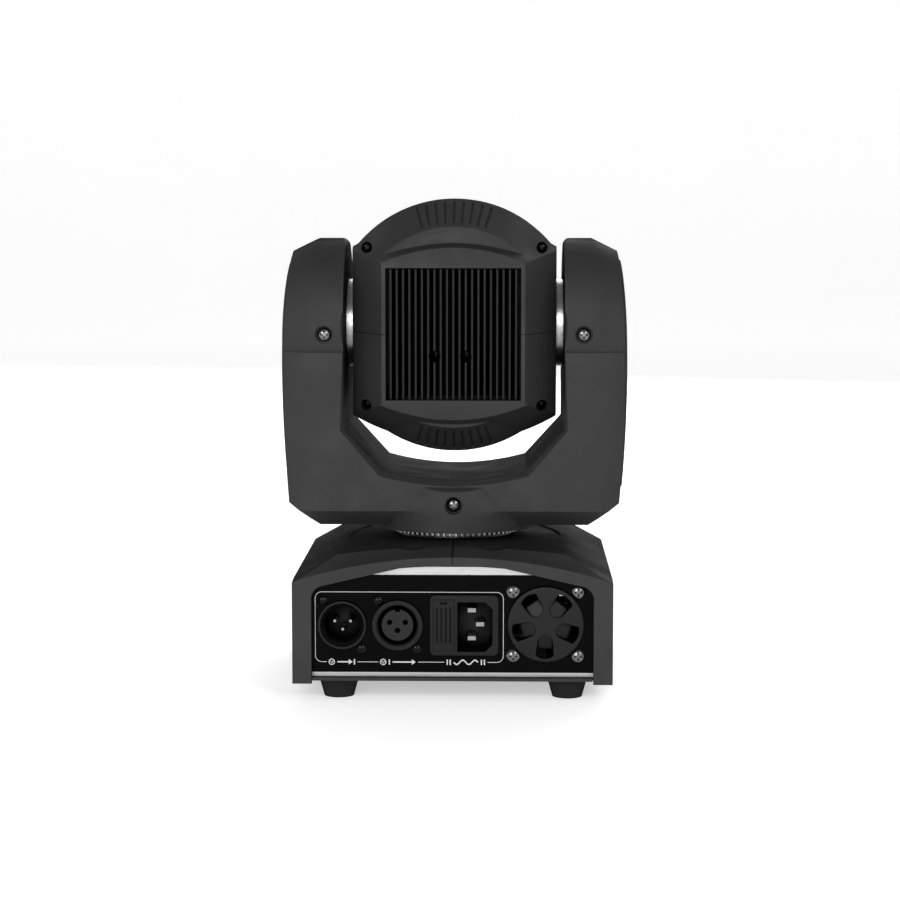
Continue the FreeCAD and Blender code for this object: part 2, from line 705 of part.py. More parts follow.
def pan_bearing():
    """Ball bearing between the fixed pivot and the yoke frame."""
    bearing = tube("xy", BEARING_SEAT_R - 0.02, HUB_R + 0.05, FRAME_Z[0] + 0.1, 100.4)
    return cut(bearing, tube("xy", 19.3, 17.2, 99.9, 101), tube("xy", 19.3, 17.2, 93, 94.1))


def pan_motor_pulley():
    low, high = PAN_BELT_Z
    wheel = toothed("xy", PAN_MOTOR_TEETH, MOTOR_PULLEY_R, MOTOR_ROOT_R, low, high + 0.4, PAN_MOTOR_X, 0)
    return join(wheel, rod("xy", 2.5, low - 0.2, 101, PAN_MOTOR_X, 0))


def pan_motor():
    """Round stepper motor standing on the yoke frame's tongue."""
    x = PAN_MOTOR_X
    can = rod("xy", 14, FRAME_Z[1], 113, x, 0)
    pilot = rod("xy", 9.9, FRAME_Z[0] + 0.3, FRAME_Z[1] + 1, x, 0)
    plug = box(x - 5, x + 5, 13, 17, 98, 104)
    groove = tube("xy", 15, 13.6, 99, 99.8, x, 0)
    return cut(join(can, pilot, plug), rod("xy", 2.58, 90, 102, x, 0), groove)


def pan_belt():
    return belt("xy", *PAN_BELT_Z, (0, 0), PAN_TIP_R, (PAN_MOTOR_X, 0), MOTOR_PULLEY_R)


# ---------------------------------------------------------------- yoke

def yoke_front_view(inset, level):
    """Outline of the yoke seen along Y. An inset above zero gives the inside of the shell."""
    t = inset
    saddle = SADDLE - t
    return outline("xz", level, (-67.7 + 0.35 * t, YOKE_BELLY + t), (67.7 - 0.35 * t, YOKE_BELLY + t),
                   (83.3 - t, 94.6 + 0.5 * t),
                   ((ARM_APEX - t, 155), (83.2 - t, 217 - 0.4 * t)), (82.6 - t, 220.8 - 0.8 * t),
                   (70 - 0.2 * t, ARM_TOP - t), (58 + 0.5 * t, ARM_TOP - t),
                   ((56.2 + 0.9 * t, 225.6 - t), (ARM_INNER + t, 223 - t)),
                   (ARM_INNER + t, 132 - 0.4 * t), (36.5 + 0.5 * t, 111 - 0.95 * t),
                   ((0, saddle), (-36.5 - 0.5 * t, 111 - 0.95 * t)), (-ARM_INNER - t, 132 - 0.4 * t),
                   (-ARM_INNER - t, 223 - t), ((-56.2 - 0.9 * t, 225.6 - t), (-58 - 0.5 * t, ARM_TOP - t)),
                   (-70 + 0.2 * t, ARM_TOP - t), (-82.6 + t, 220.8 - 0.8 * t), (-83.2 + t, 217 - 0.4 * t),
                   ((-ARM_APEX + t, 155), (-83.3 + t, 94.6 + 0.5 * t)))


def yoke_side_view(level, foot, heel, crease, head_r, inset=0.0):
    """Outline of an arm seen along X: tapered foot, upright sides, a crease, and a round head."""
    (fy, fz), (hy, hz), (cy, cz) = foot, heel, crease
    t = inset
    radius = head_r - t
    start = math.asin(min(1.0, (cz - TILT_Z) / radius)) if abs(cz - TILT_Z) < radius else 0.0
    ay, az = radius * math.cos(start), TILT_Z + radius * math.sin(start)
    return outline("yz", level, (-fy + 0.6 * t, fz + t), (fy - 0.6 * t, fz + t), (hy - t, hz + 0.4 * t),
                   (cy - t, cz), (ay, az), ((0, TILT_Z + radius), (-ay, az)), (-cy + t, cz),
                   (-hy + t, hz + 0.4 * t))


def yoke_depth(inset):
    """Solid that limits the yoke front and rear, narrowing towards the outside of the arms."""
    inner = dict(foot=(38, 83), heel=(46, 90.8), crease=(43, 170.5), head_r=ARM_HEAD_R)
    outer = dict(foot=(34, 83), heel=(40, 91), crease=(36.7, 170.5), head_r=38.5)
    middle = extrude("yz", yoke_side_view(-72, inset=inset, **inner), 144)
    flanks = []
    for sign in (-1, 1):
        near = yoke_side_view(sign * 72, inset=inset, **inner)
        far = yoke_side_view(sign * 87, inset=inset, **outer)
        flanks.append(ruled(near, far))
    return join(middle, *flanks)


def saddle_bevel():
    """Cutter for the wide chamfer round the U opening, on the rear side."""
    def u_shape(level, grow, rise):
        g = grow
        return outline("xz", level, (ARM_INNER + g, 190 + rise), (ARM_INNER + g, 132 - 0.4 * g),
                       (36.5 + 0.5 * g, 111 - 0.95 * g), ((0, SADDLE - g), (-36.5 - 0.5 * g, 111 - 0.95 * g)),
                       (-ARM_INNER - g, 132 - 0.4 * g), (-ARM_INNER - g, 190 + rise))
    return ruled(u_shape(42.6, 0.0, 0), u_shape(47.2, 4.2, 0))


def boss_plan(level, half, shoulder, apex):
    """Plan of the rear boss: an arc from shoulder to shoulder, bulging away from the middle."""
    return outline("xy", level, (-half, 26), (half, 26), (half, shoulder), ((0, apex), (-half, shoulder)))


def rear_boss():
    """Bulge over the pan pivot: creased round its waist, with a top that slopes back to the shell."""
    waist = boss_plan(91, 33.5, 44, 49.6)
    lower = ruled(boss_plan(YOKE_BOTTOM, 37, 31, 49.6), waist)
    upper = ruled(waist, boss_plan(103, 18, 44, 48.4))
    slope = prism("yz", -60, 60, (52, 97.5), (49.4, 100.2), (43.0, 104.8), (43.0, 110), (52, 110))
    return join(lower, upper).cut(slope)


def yoke_shell_whole():
    """Front and rear yoke shells in one piece, before the split."""
    front_view = extrude("xz", yoke_front_view(0, -60), 120)
    outside = front_view.common(yoke_depth(0))
    rear = rear_boss()
    skirt = rod("xy", 46.5, YOKE_BOTTOM, YOKE_BELLY + 0.5)
    outside = join(outside, rear, mirrored(rear, V(0, 1, 0)), skirt)
    bevel = saddle_bevel()
    for tool in (bevel, mirrored(bevel, V(0, 1, 0))):
        outside = outside.cut(tool)
    hollow = extrude("xz", yoke_front_view(WALL, -60), 120).common(yoke_depth(WALL))
    shell = outside.cut(hollow)
    shell = join(shell, *yoke_screw_bosses())
    tools = [rod("xy", 36.5, 60, YOKE_BELLY + WALL + 0.5)]
    tools += [rod("yz", SHAFT_R + 1.2, low, high, 0, TILT_Z) for low, high in ((54, 59), (-59, -54))]
    tools += both_sides(cover_footprint(84.0 - 4, 92, 0.0, 4.0))
    tools += both_sides(cover_pocket())
    for sign in (-1, 1):
        tools += yoke_screw_holes(sign)
    for tool in tools:
        shell = shell.cut(tool)
    return shell


def yoke_screw_bosses():
    """Bosses inside the shell behind the arm screws and the centre screw."""
    bosses = []
    x, z = ARM_SCREW
    for sign in (-1, 1):
        low, high = sorted((sign * (FRAME_HALF_Y + 0.2), sign * 42.6))
        bosses += both_sides(rod("xz", 5.6, low, high, x, z))
        low, high = sorted((sign * 37.2, sign * 44.5))
        bosses.append(rod("xz", 5.0, low, high, 0, BOSS_SCREW_Z))
    return bosses


def yoke_screw_holes(sign):
    """Recesses for the screw heads and holes for their shanks, on one side."""
    holes = []
    x, z = ARM_SCREW
    low, high = sorted((sign * 41.2, sign * 60))
    holes += both_sides(rod("xz", 4.45, low, high, x, z))
    low, high = sorted((sign * 25, sign * 60))
    holes += both_sides(rod("xz", 1.7, low, high, x, z))
    low, high = sorted((sign * 45.0, sign * 60))
    holes.append(rod("xz", 4.4, low, high, 0, BOSS_SCREW_Z))
    low, high = sorted((sign * 38, sign * 60))
    holes.append(rod("xz", 1.6, low, high, 0, BOSS_SCREW_Z))
    return holes


def yoke_half(sign):
    low, high = sorted((sign * SEAM, sign * BIG))
    return yoke_shell_whole().common(box(-BIG, BIG, low, high, -BIG, BIG))


def yoke_screws():
    """Four silver screws in the arms, front and rear, and two in the centre bosses."""
    screws = []
    x, z = ARM_SCREW
    for sign in (-1, 1):
        for side in (-1, 1):
            screws.append(screw((side * x, sign * 41.2, z), (0, sign, 0), 3.5, 2.3, 1.5, 12.5))
        screws.append(screw((0, sign * 45.0, BOSS_SCREW_Z), (0, sign, 0), 3.6, 2.2, 1.5, 6.5))
    return group(*screws)


def cover_footprint(low, high, grow, inset=0.0):
    """Keyhole outline of an arm cover, seen from the side."""
    g = grow - inset
    radius = 33.0 + g
    foot_y, foot_z = 25.0 + g, 101 - g
    drop = TILT_Z - foot_z
    tangent = math.acos(radius / math.hypot(foot_y, drop)) - math.atan2(drop, foot_y)
    side_y, side_z = radius * math.cos(tangent), TILT_Z + radius * math.sin(tangent)
    return prism("yz", low, high, (-foot_y, foot_z), (foot_y, foot_z), (side_y, side_z),
                 ((0, TILT_Z + radius), (-side_y, side_z)))


def cover_band(inner, outer):
    """Curved band along the arm's outer arc, between two offsets from it."""
    return prism("xz", -50, 50, (83.3 + inner, 94.6), ((ARM_APEX + inner, 155), (83.2 + inner, 217)),
                 (83.2 + outer, 217), ((ARM_APEX + outer, 155), (83.3 + outer, 94.6)))


def cover_pocket():
    return cover_footprint(78, 95, CLEARANCE).common(cover_band(-1.05, 6.0))


def arm_cover():
    """Curved side cover of one arm, with softened edges."""
    cover = cover_footprint(78, 95, 0.0).common(cover_band(-1.0, COVER_RISE))
    rim = []
    for edge in cover.Edges:
        middle = edge.valueAt((edge.FirstParameter + edge.LastParameter) / 2)
        face_x = 83.3 + COVER_RISE - 0.4
        if middle.x > face_x and edge.Length > 20:
            rim.append(edge)
    return cover.makeChamfer(0.7, rim) if rim else cover


def frame_upright():
    """Upright plate of the yoke frame on +X, with the tilt bearing's housing and two screw tabs."""
    x0, x1 = FRAME_X
    plate = prism("yz", x0, x1, (-FRAME_HALF_Y, FRAME_Z[0]), (FRAME_HALF_Y, FRAME_Z[0]),
                  (FRAME_HALF_Y, 200), (22, 208), (-22, 208), (-FRAME_HALF_Y, 200))
    seat = rod("yz", TILT_BEARING_R + 2, x1 - 0.5, TILT_BEARING_X[1], 0, TILT_Z)
    tabs = []
    for sign in (-1, 1):
        low, high = sorted((sign * (FRAME_HALF_Y - 2), sign * FRAME_HALF_Y))
        tabs.append(box(x0, 71, low, high, 172, 187))
    window = rounded("yz", x0 - 1, x1 + 1, -17, 17, 145, 160, 4)
    bore = rod("yz", TILT_BEARING_R, x1 + 0.1, 80, 0, TILT_Z)
    shaft = rod("yz", SHAFT_R + 1.5, 50, 80, 0, TILT_Z)
    shanks = [rod("xz", 1.55, -60, 60, ARM_SCREW[0], ARM_SCREW[1])]
    return cut(join(plate, seat, *tabs), window, bore, shaft, *shanks)


def yoke_frame():
    """U-shaped steel frame: floor with the pan bearing's cup, and an upright in each arm."""
    z0, z1 = FRAME_Z
    floor = box(-FRAME_X[1], FRAME_X[1], -FRAME_HALF_Y, FRAME_HALF_Y, z0, z1)
    tongue = rounded("xy", z0, z1, 55, 74, -16, 16, 4)
    cup = rod("xy", BEARING_SEAT_R + 3, z0, 100.5)
    upright = frame_upright()
    frame = join(floor, tongue, cup, upright, mirrored(upright))
    window = box(FRAME_X[0] - 1, FRAME_X[1] + 1, -18.5, 18.5, z1, 118)
    return cut(frame, rod("xy", BEARING_SEAT_R, 90, 105), rod("xy", 10, 90, 96, PAN_MOTOR_X, 0), window,
               box(-48, -30, -20, 20, z0 - 1, z1 + 1))


def tilt_bearings():
    low, high = TILT_BEARING_X
    bearing = tube("yz", TILT_BEARING_R - 0.02, SHAFT_R + 0.05, low, high, 0, TILT_Z)
    bearing = cut(bearing, tube("yz", 11.6, 9.6, high - 0.4, high + 1, 0, TILT_Z))
    return group(*both_sides(bearing))


def tilt_motor():
    """Round stepper motor on the outer face of the -X upright."""
    face = FRAME_X[1]
    can = rod("yz", 17.5, -73, -face, 0, TILT_MOTOR_Z)
    plug = box(-72, -66, 16, 20.5, TILT_MOTOR_Z - 5, TILT_MOTOR_Z + 5)
    groove = tube("yz", 18, 17, -70.6, -69.8, 0, TILT_MOTOR_Z)
    return cut(join(can, plug), rod("yz", 2.58, -74, -63, 0, TILT_MOTOR_Z), groove)


def tilt_motor_pulley():
    low, high = -TILT_BELT_X[1], -TILT_BELT_X[0]
    wheel = toothed("yz", TILT_MOTOR_TEETH, TILT_MOTOR_R, TILT_MOTOR_ROOT_R, low - 0.4, high + 0.4,
                    0, TILT_MOTOR_Z)
    return join(wheel, rod("yz", 2.5, low - 0.6, -64, 0, TILT_MOTOR_Z))


def tilt_belt():
    low, high = -TILT_BELT_X[1], -TILT_BELT_X[0]
    return belt("yz", low, high, (0, TILT_Z), TILT_TIP_R, (0, TILT_MOTOR_Z), TILT_MOTOR_R)


# ---------------------------------------------------------------- head

def plan_limit(half, facet_y, rear_half, rear_y, corner):
    """Plan of the head: straight sides with rounded front corners, facets towards the rear plate."""
    k = corner * (1 - math.sqrt(0.5))
    front = -70
    return prism("xy", TILT_Z - 90, TILT_Z + 90, (-half + corner, front), (half - corner, front),
                 ((half - k, front + k), (half, front + corner)), (half, facet_y), (rear_half, rear_y),
                 (-rear_half, rear_y), (-half, facet_y), (-half, front + corner),
                 ((-half + k, front + k), (-half + corner, front)))


def rear_plate_outline(level, half, corner_z, crown):
    """Outline of the raised rear block: upright sides, and arched top and bottom."""
    return outline("xz", level, (half, BLOCK_Z - corner_z), (half, BLOCK_Z + corner_z),
                   ((0, BLOCK_Z + crown), (-half, BLOCK_Z + corner_z)), (-half, BLOCK_Z - corner_z),
                   ((0, BLOCK_Z - crown), (half, BLOCK_Z - corner_z)))


def cone_radius(y, start, end):
    """Radius at the depth y on the straight line between two (radius, depth) points."""
    share = (y - start[1]) / (end[1] - start[1])
    return start[0] + share * (end[0] - start[0])


def flute(y0, r0, y1, r1, depth, half, angle):
    """Cutter for one shallow groove that runs along a cone, turned to its place about the beam axis."""
    length = math.hypot(y1 - y0, r1 - r0)
    ny, nr = (r0 - r1) / length, (y1 - y0) / length
    if nr < 0:
        ny, nr = -ny, -nr
    points = [(y0 - ny * depth, TILT_Z + r0 - nr * depth), (y1 - ny * depth, TILT_Z + r1 - nr * depth),
              (y1 + ny, TILT_Z + r1 + nr), (y0 + ny, TILT_Z + r0 + nr)]
    groove = prism("yz", -half, half, *points)
    groove.rotate(V(0, 0, TILT_Z), V(0, 1, 0), angle)
    return groove


def flutes(y0, y1, start, end):
    """Fans of grooves at the head's top and bottom, from depth y0 to y1 on the cone from start to end."""
    r0, r1 = (cone_radius(y, start, end) for y in (y0, y1))
    return [flute(y0, r0, y1, r1, 0.8, 0.6, base + 4.4 * k) for base in (0, 180) for k in range(-4, 5)]


def plate_leans():
    """Cutters that lean the rear plate back above and below the vent."""
    deep = REAR_Y - LEAN_REACH * math.tan(math.radians(PLATE_LEAN))
    behind = REAR_Y + 5
    cutters = []
    for sign in (-1, 1):
        edge, end = BLOCK_Z + sign * LEAN_Z, BLOCK_Z + sign * (LEAN_Z + LEAN_REACH)
        cutters.append(prism("yz", -60, 60, (REAR_Y, edge), (deep, end), (behind, end), (behind, edge)))
    return cutters


def head_outer():
    rim0, rim1 = HEAD_RIM
    dome = turned([(0, rim0), (HEAD_R, rim0), (HEAD_R, rim1), CONE_END, STEP_END, (0, STEP_END[1])])
    block = ruled(rear_plate_outline(rim1, 56, 40, 57), rear_plate_outline(REAR_Y, 36, 35, 41.2))
    limit = plan_limit(HEAD_HALF_X, FACET_Y, REAR_HALF_X, REAR_Y, 4)
    return cut(join(dome, block).common(limit), *plate_leans())


def head_hollow():
    """Space inside the head shells."""
    inner = HEAD_R - WALL
    dome = turned([(0, HEAD_RIM[0] - 1), (inner, HEAD_RIM[0] - 1), (inner, 25), (49, 46.4), (0, 46.4)])
    limit = plan_limit(HEAD_HALF_X - WALL, 28.2, 34.4, 54.8, 3)
    half, high = 33.6, 33.4
    return join(dome.common(limit), box(-half, half, 20, 55.5, BLOCK_Z - high, BLOCK_Z + high))


def corner_screw_bosses():
    return [rod("xz", 5.0, 17, 28, x, TILT_Z + z) for x, z in corners(*CORNER_SCREW)]


def head_shell_whole():
    """Upper and lower head shells in one piece, before the split."""
    shell = head_outer().cut(head_hollow())
    inside = head_outer().common(box(-BIG, BIG, 0, 40, -BIG, BIG))
    shell = join(shell, *[boss.common(inside) for boss in corner_screw_bosses()])
    tools = [box(-VENT[0], VENT[0], 40, 70, BLOCK_Z - VENT[1], BLOCK_Z + VENT[1])]
    tools += [rod("yz", 10.2, -60, 60, 0, TILT_Z)]
    for x, z in corners(*CORNER_SCREW):
        tools.append(rod("xz", 2.9, 28, 70, x, TILT_Z + z))
        tools.append(rod("xz", 1.5, 15, 70, x, TILT_Z + z))
    tools += flutes(27.9, 46.8, (HEAD_R, HEAD_RIM[1]), CONE_END)
    return cut(shell, *tools)


def head_shell(half):
    return head_shell_whole().common(half)


def front_bezel():
    """Front cover of the head: a stepped cone with a guide sleeve for the focus barrel."""
    rim = HEAD_RIM[0] - 2 * SEAM
    cone = (HEAD_R, -27), (47, -48)
    nose = (44, BEZEL_FRONT + 2), (42, BEZEL_FRONT), (0, BEZEL_FRONT)
    outside = turned([(0, rim), (HEAD_R, rim), *cone, *nose])
    outside = outside.common(plan_limit(HEAD_HALF_X, FACET_Y, REAR_HALF_X, REAR_Y, 4))
    hollow = turned([(31.5, rim + 1), (HEAD_R - WALL, rim + 1), (HEAD_R - WALL, -27.8), (44.6, -47),
                     (41.5, BEZEL_FRONT + WALL), (31.5, BEZEL_FRONT + WALL)])
    hollow = hollow.common(plan_limit(HEAD_HALF_X - WALL, FACET_Y, REAR_HALF_X, REAR_Y, 3))
    sleeve_end = rod("xz", 31.6, -40, rim + 2, 0, TILT_Z)
    bore = rod("xz", BARREL_R + 0.08, -70, 0, 0, TILT_Z)
    return cut(outside, hollow, sleeve_end, bore, *flutes(-45.5, -29.5, *cone))


def heatsink():
    """Extruded aluminium heatsink with upright fins, notched round its two screws."""
    y0, y1 = SINK_Y
    base = rounded("xz", y0, y1, -40, 40, BLOCK_Z - 37, BLOCK_Z + 37, 3)
    fins = []
    for k in range(FIN_COUNT):
        x = (k - (FIN_COUNT - 1) / 2) * FIN_PITCH
        left, right = x - FIN_THICK / 2, x + FIN_THICK / 2
        fins.append(box(left, right, y1 - 0.5, FIN_END, BLOCK_Z - FIN_HALF_Z, BLOCK_Z + FIN_HALF_Z))
    notches = [rod("xz", 2.9, y1, 60, x, BLOCK_Z + SINK_SCREW_DZ) for x in SINK_SCREWS]
    threads = [rod("xz", 1.55, y0 - 1, 60, x, BLOCK_Z + SINK_SCREW_DZ) for x in SINK_SCREWS]
    return cut(join(base, *fins), *notches, *threads)


def head_screws():
    """Four corner screws in the shells and two screws between the fins."""
    bolts = [screw((x, 28, TILT_Z + z), (0, 1, 0), 2.6, 1.8, 1.45, 9) for x, z in corners(*CORNER_SCREW)]
    sink_z = BLOCK_Z + SINK_SCREW_DZ
    bolts += [screw((x, SINK_Y[1], sink_z), (0, 1, 0), 2.6, 1.8, 1.5, 3.5) for x in SINK_SCREWS]
    return group(*bolts)


def tilt_hubs():
    """Bright hub discs with hollow tilt shafts. The -X shaft is longer and carries the pulley."""
    hubs = []
    for sign, end in ((1, 68.0), (-1, TILT_PULLEY_X[1])):
        disc = rod("yz", 22.5, *sorted((sign * HEAD_HALF_X, sign * (ARM_INNER - 0.3))), 0, TILT_Z)
        shaft = rod("yz", SHAFT_R, *sorted((sign * 52, sign * end)), 0, TILT_Z)
        spigot = rod("yz", 10.0, *sorted((sign * 46, sign * 52)), 0, TILT_Z)
        bore = rod("yz", 4.5, *sorted((sign * 40, sign * 90)), 0, TILT_Z)
        rings = tube("yz", 20.5, 19.5, *sorted((sign * 54.8, sign * 56)), 0, TILT_Z)
        hubs.append(cut(join(disc, shaft, spigot), bore, rings))
    return group(*hubs)


def tilt_pulley():
    """Large pulley on the end of the -X tilt shaft."""
    low, high = -TILT_PULLEY_X[1], -TILT_PULLEY_X[0]
    wheel = toothed("yz", TILT_TEETH, TILT_TIP_R, TILT_ROOT_R, low, high, 0, TILT_Z)
    holes = [rod("yz", SHAFT_R, -90, -70, 0, TILT_Z)]
    for k in range(6):
        angle = math.radians(60 * k + 30)
        holes.append(rod("yz", 2.6, -90, -70, 13.2 * math.cos(angle), TILT_Z + 13.2 * math.sin(angle)))
    return cut(wheel, *holes)


def led_board():
    """Metal-core board with the LED emitter on it."""
    board = rounded("xz", 28, SINK_Y[0], -20, 20, TILT_Z - 20, TILT_Z + 20, 2)
    emitter = rod("xz", 5.0, 26.2, 28.5, 0, TILT_Z)
    threads = [rod("xz", 1.6, 20, 40, x, BLOCK_Z + SINK_SCREW_DZ) for x in SINK_SCREWS]
    return cut(join(board, emitter), *threads)


def domed_lens(radius, flat, edge, apex):
    """Plano-convex lens on the beam axis: flat at one depth, domed to -Y."""
    sag = edge - apex
    sphere_r = (radius ** 2 + sag ** 2) / (2 * sag)
    sphere = Part.makeSphere(sphere_r, V(0, apex + sphere_r, TILT_Z))
    return rod("xz", radius, apex - 1, flat, 0, TILT_Z).common(sphere)


def led_lens():
    """Condenser lens, flat to the LED."""
    return domed_lens(12.0, 24.0, 20.5, 15.5)


def optics_plate():
    """Steel plate across the head, with the lens tube, the gobo motor's seat and posts to the heatsink."""
    plate = rounded("xz", 10.5, 12, -38, 38, TILT_Z - 40, TILT_Z + 38, 5)
    posts = [rod("xz", 3.0, 11.5, SINK_Y[0], x, TILT_Z + z) for x, z in corners(30, 30)]
    holder = tube("xz", 14.0, 12.05, 11.5, 25, 0, TILT_Z)
    beam = rod("xz", 11.0, 0, 13, 0, TILT_Z)
    seat = rod("xz", 5.1, 0, 13, 0, TILT_Z - GOBO_DROP)
    return cut(join(plate, *posts, holder), beam, seat)


def gobo_motor():
    """Small stepper motor that turns the gobo wheel."""
    z = TILT_Z - GOBO_DROP
    can = rod("xz", 9.6, 12, 26, 0, z)
    pilot = rod("xz", 5.0, 10.8, 13, 0, z)
    return cut(join(can, pilot), rod("xz", 1.58, 5, 20, 0, z))


def gobo_wheel():
    """Wheel of round gobo openings. One opening is always on the beam axis."""
    z = TILT_Z - GOBO_DROP
    disc = rod("xz", GOBO_DROP + 8, 7.6, 9.1, 0, z)
    hub = join(rod("xz", 4.5, 6.5, 10.2, 0, z), rod("xz", 1.5, 9, 18, 0, z))
    holes = []
    for k in range(GOBO_HOLES):
        angle = 2 * math.pi * k / GOBO_HOLES
        holes.append(rod("xz", 6.0, 0, 12, GOBO_DROP * math.sin(angle), z + GOBO_DROP * math.cos(angle)))
    notch = rod("xz", 1.4, 0, 12, (GOBO_DROP + 7.5) * math.sin(0.4), z + (GOBO_DROP + 7.5) * math.cos(0.4))
    return join(cut(disc, notch, *holes), hub)


def focus_barrel():
    """Sliding focus barrel with a knurled grip ring in front of the bezel."""
    grip = turned([(0, -61), (30.2, -61), (31, -60.3), (31, BEZEL_FRONT - 0.2), (0, BEZEL_FRONT - 0.2)])
    body = rod("xz", BARREL_R, -59, -28, 0, TILT_Z)
    knurls = []
    for k in range(48):
        angle = 2 * math.pi * k / 48
        x, z = KNURL_R * math.cos(angle), TILT_Z + KNURL_R * math.sin(angle)
        knurls.append(rod("xz", 0.7, -62, BEZEL_FRONT - 0.2, x, z))
    lens_seat = rod("xz", 25.1, -70, -53, 0, TILT_Z)
    bore = rod("xz", 22.5, -54, 0, 0, TILT_Z)
    return cut(join(grip, body), lens_seat, bore, *knurls)


def front_lens():
    """Large lens in the focus barrel."""
    return domed_lens(25.0, -53.1, -55.4, -60.2)


# ---------------------------------------------------------------- all the parts

def all_parts():
    parts = {
        "base_plate": base_plate(),
        "base_shell_left": base_half(-1),
        "base_shell_right": base_half(1),
        "base_screws": base_screws(),
        "rubber_feet": rubber_feet(),
        "chassis_bridge": chassis_bridge(),
        "rear_chassis_plate": rear_chassis_plate(),
        "rear_overlay_panel": rear_overlay_panel(),
        "dmx_in_socket": dmx_in_socket(),
        "dmx_in_pins": dmx_in_pins(),
        "dmx_out_socket": dmx_out_socket(),
        "dmx_out_insert": dmx_out_insert(),
        "socket_screws": socket_screws(),
        "power_inlet": power_inlet(),
        "power_inlet_blades": power_inlet_blades(),
        "fuse_drawer": fuse_drawer(),
        "fuse": fuse(),
        "fan_grille": fan_grille(),
        "fan_frame": fan_frame(),
        "fan_screws": fan_screws(),
        "fan_impeller": fan_impeller(),
        "front_panel": front_panel(),
        "display_window": display_window(),
        "display_board": display_board(),
        "power_supply_board": power_supply_board(),
        "power_supply_parts": power_supply_parts(),
        "control_board": control_board(),
        "pan_pulley": pan_pulley(),
        "pan_bearing": pan_bearing(),
        "pan_belt": pan_belt(),
        "pan_motor": pan_motor(),
        "pan_motor_pulley": pan_motor_pulley(),
        "yoke_frame": yoke_frame(),
        "yoke_shell_rear": yoke_half(1),
        "yoke_shell_front": yoke_half(-1),
        "yoke_screws": yoke_screws(),
        "arm_cover_right": arm_cover(),
        "arm_cover_left": mirrored(arm_cover()),
        "tilt_bearings": tilt_bearings(),
        "tilt_motor": tilt_motor(),
        "tilt_motor_pulley": tilt_motor_pulley(),
        "tilt_belt": tilt_belt(),
        "tilt_hubs": tilt_hubs(),
        "tilt_pulley": tilt_pulley(),
        "head_shell_upper": head_shell(upper_half(BLOCK_Z)),
        "head_shell_lower": head_shell(lower_half(BLOCK_Z)),
        "front_bezel": front_bezel(),
        "heatsink": heatsink(),
        "head_screws": head_screws(),
        "led_board": led_board(),
        "led_lens": led_lens(),
        "optics_plate": optics_plate(),
        "gobo_motor": gobo_motor(),
        "gobo_wheel": gobo_wheel(),
        "focus_barrel": focus_barrel(),
        "front_lens": front_lens(),
    }
    for name, x in zip(("menu", "down", "up", "enter"), BUTTON_X):
        parts["button_" + name] = button(x)
    return parts


os.makedirs("parts", exist_ok=True)
for name, shape in all_parts().items():
    solids = len(shape.Solids)
    print(f"{name:22s} solids {solids:3d} volume {shape.Volume:10.1f} valid {shape.isValid()}")
    shape.exportStep(f"parts/{name}.step")
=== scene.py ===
import json
import math

import bmesh
import bpy
from mathutils import Euler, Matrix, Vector


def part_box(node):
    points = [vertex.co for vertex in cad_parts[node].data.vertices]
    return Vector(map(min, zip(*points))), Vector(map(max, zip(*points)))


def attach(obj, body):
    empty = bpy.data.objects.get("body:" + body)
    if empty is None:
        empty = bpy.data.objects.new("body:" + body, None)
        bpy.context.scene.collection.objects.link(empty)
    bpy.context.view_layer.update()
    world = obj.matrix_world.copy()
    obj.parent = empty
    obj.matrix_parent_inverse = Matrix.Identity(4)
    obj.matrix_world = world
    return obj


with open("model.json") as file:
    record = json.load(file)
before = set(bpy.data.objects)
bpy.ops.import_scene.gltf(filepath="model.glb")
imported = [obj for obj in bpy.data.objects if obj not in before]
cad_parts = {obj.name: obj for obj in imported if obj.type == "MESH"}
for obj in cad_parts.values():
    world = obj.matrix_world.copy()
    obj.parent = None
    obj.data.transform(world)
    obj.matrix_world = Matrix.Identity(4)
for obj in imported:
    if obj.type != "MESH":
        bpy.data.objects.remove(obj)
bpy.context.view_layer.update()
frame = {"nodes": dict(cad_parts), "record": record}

MM = 0.001

# Where things are, from the frame
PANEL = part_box("rear_overlay_panel")
PANEL_Y = PANEL[1].y
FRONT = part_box("front_panel")
FRONT_Y = FRONT[0].y
DMX_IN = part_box("dmx_in_socket")
DMX_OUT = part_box("dmx_out_socket")
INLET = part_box("power_inlet")
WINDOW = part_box("display_window")

# Camera
CAMERA_DISTANCE = 1.2
CAMERA_HEIGHT = 0.245
CAMERA_AZIMUTH = 181.2
CAMERA_PITCH = 6.09
CAMERA_YAW = 0.14
FOCAL_MM = 92.6

# Printed line work
LINE = 0.27 * MM
BOLD = 0.62 * MM
INK = 0.03 * MM
FRAME_TOP = 54.3 * MM
FRAME_BOTTOM = 19.3 * MM
FRAME_RADIUS = 3.2 * MM
MARK_HALF = 1.35 * MM

# Where printed lines and marks stand, from the pieces that they go with
FRAME_LEFT_REACH = 13.4 * MM
FRAME_RIGHT_GAP = 2.5 * MM
MARK_MARGIN = 1.1 * MM
INPUT_MARK_HALF = 6.5 * MM
OUTPUT_MARK_HALF = 8.7 * MM
MAINS_MARK_HALF = 9.6 * MM
WINDOW_LINE_GAP = 3 * MM
KEY_MARK_DROP = 2.6 * MM
KEY_MARK_HALF = 1.3 * MM

# Tints of plastics and metals
GREENISH = (0.98, 1.01, 0.98)
NEUTRAL = (1.0, 1.0, 1.0)
STEEL_TINT = (1.0, 0.985, 1.0)
NICKEL_TINT = (1.0, 0.97, 0.92)
# Warm tint of the painted shade down in plated recesses
PAINTED_SHADE_TINT = (1.0, 0.85, 0.75)
DUST_TINT = (1.0, 0.97, 0.93)

# How textured plastic loses its gloss, by how far it turns from the viewer (0 squarely, 1 along it)
GLOSS_STARTS_TO_FADE = 0.25
GLOSS_GONE = 0.83
GLOSS_LEFT = 0.002

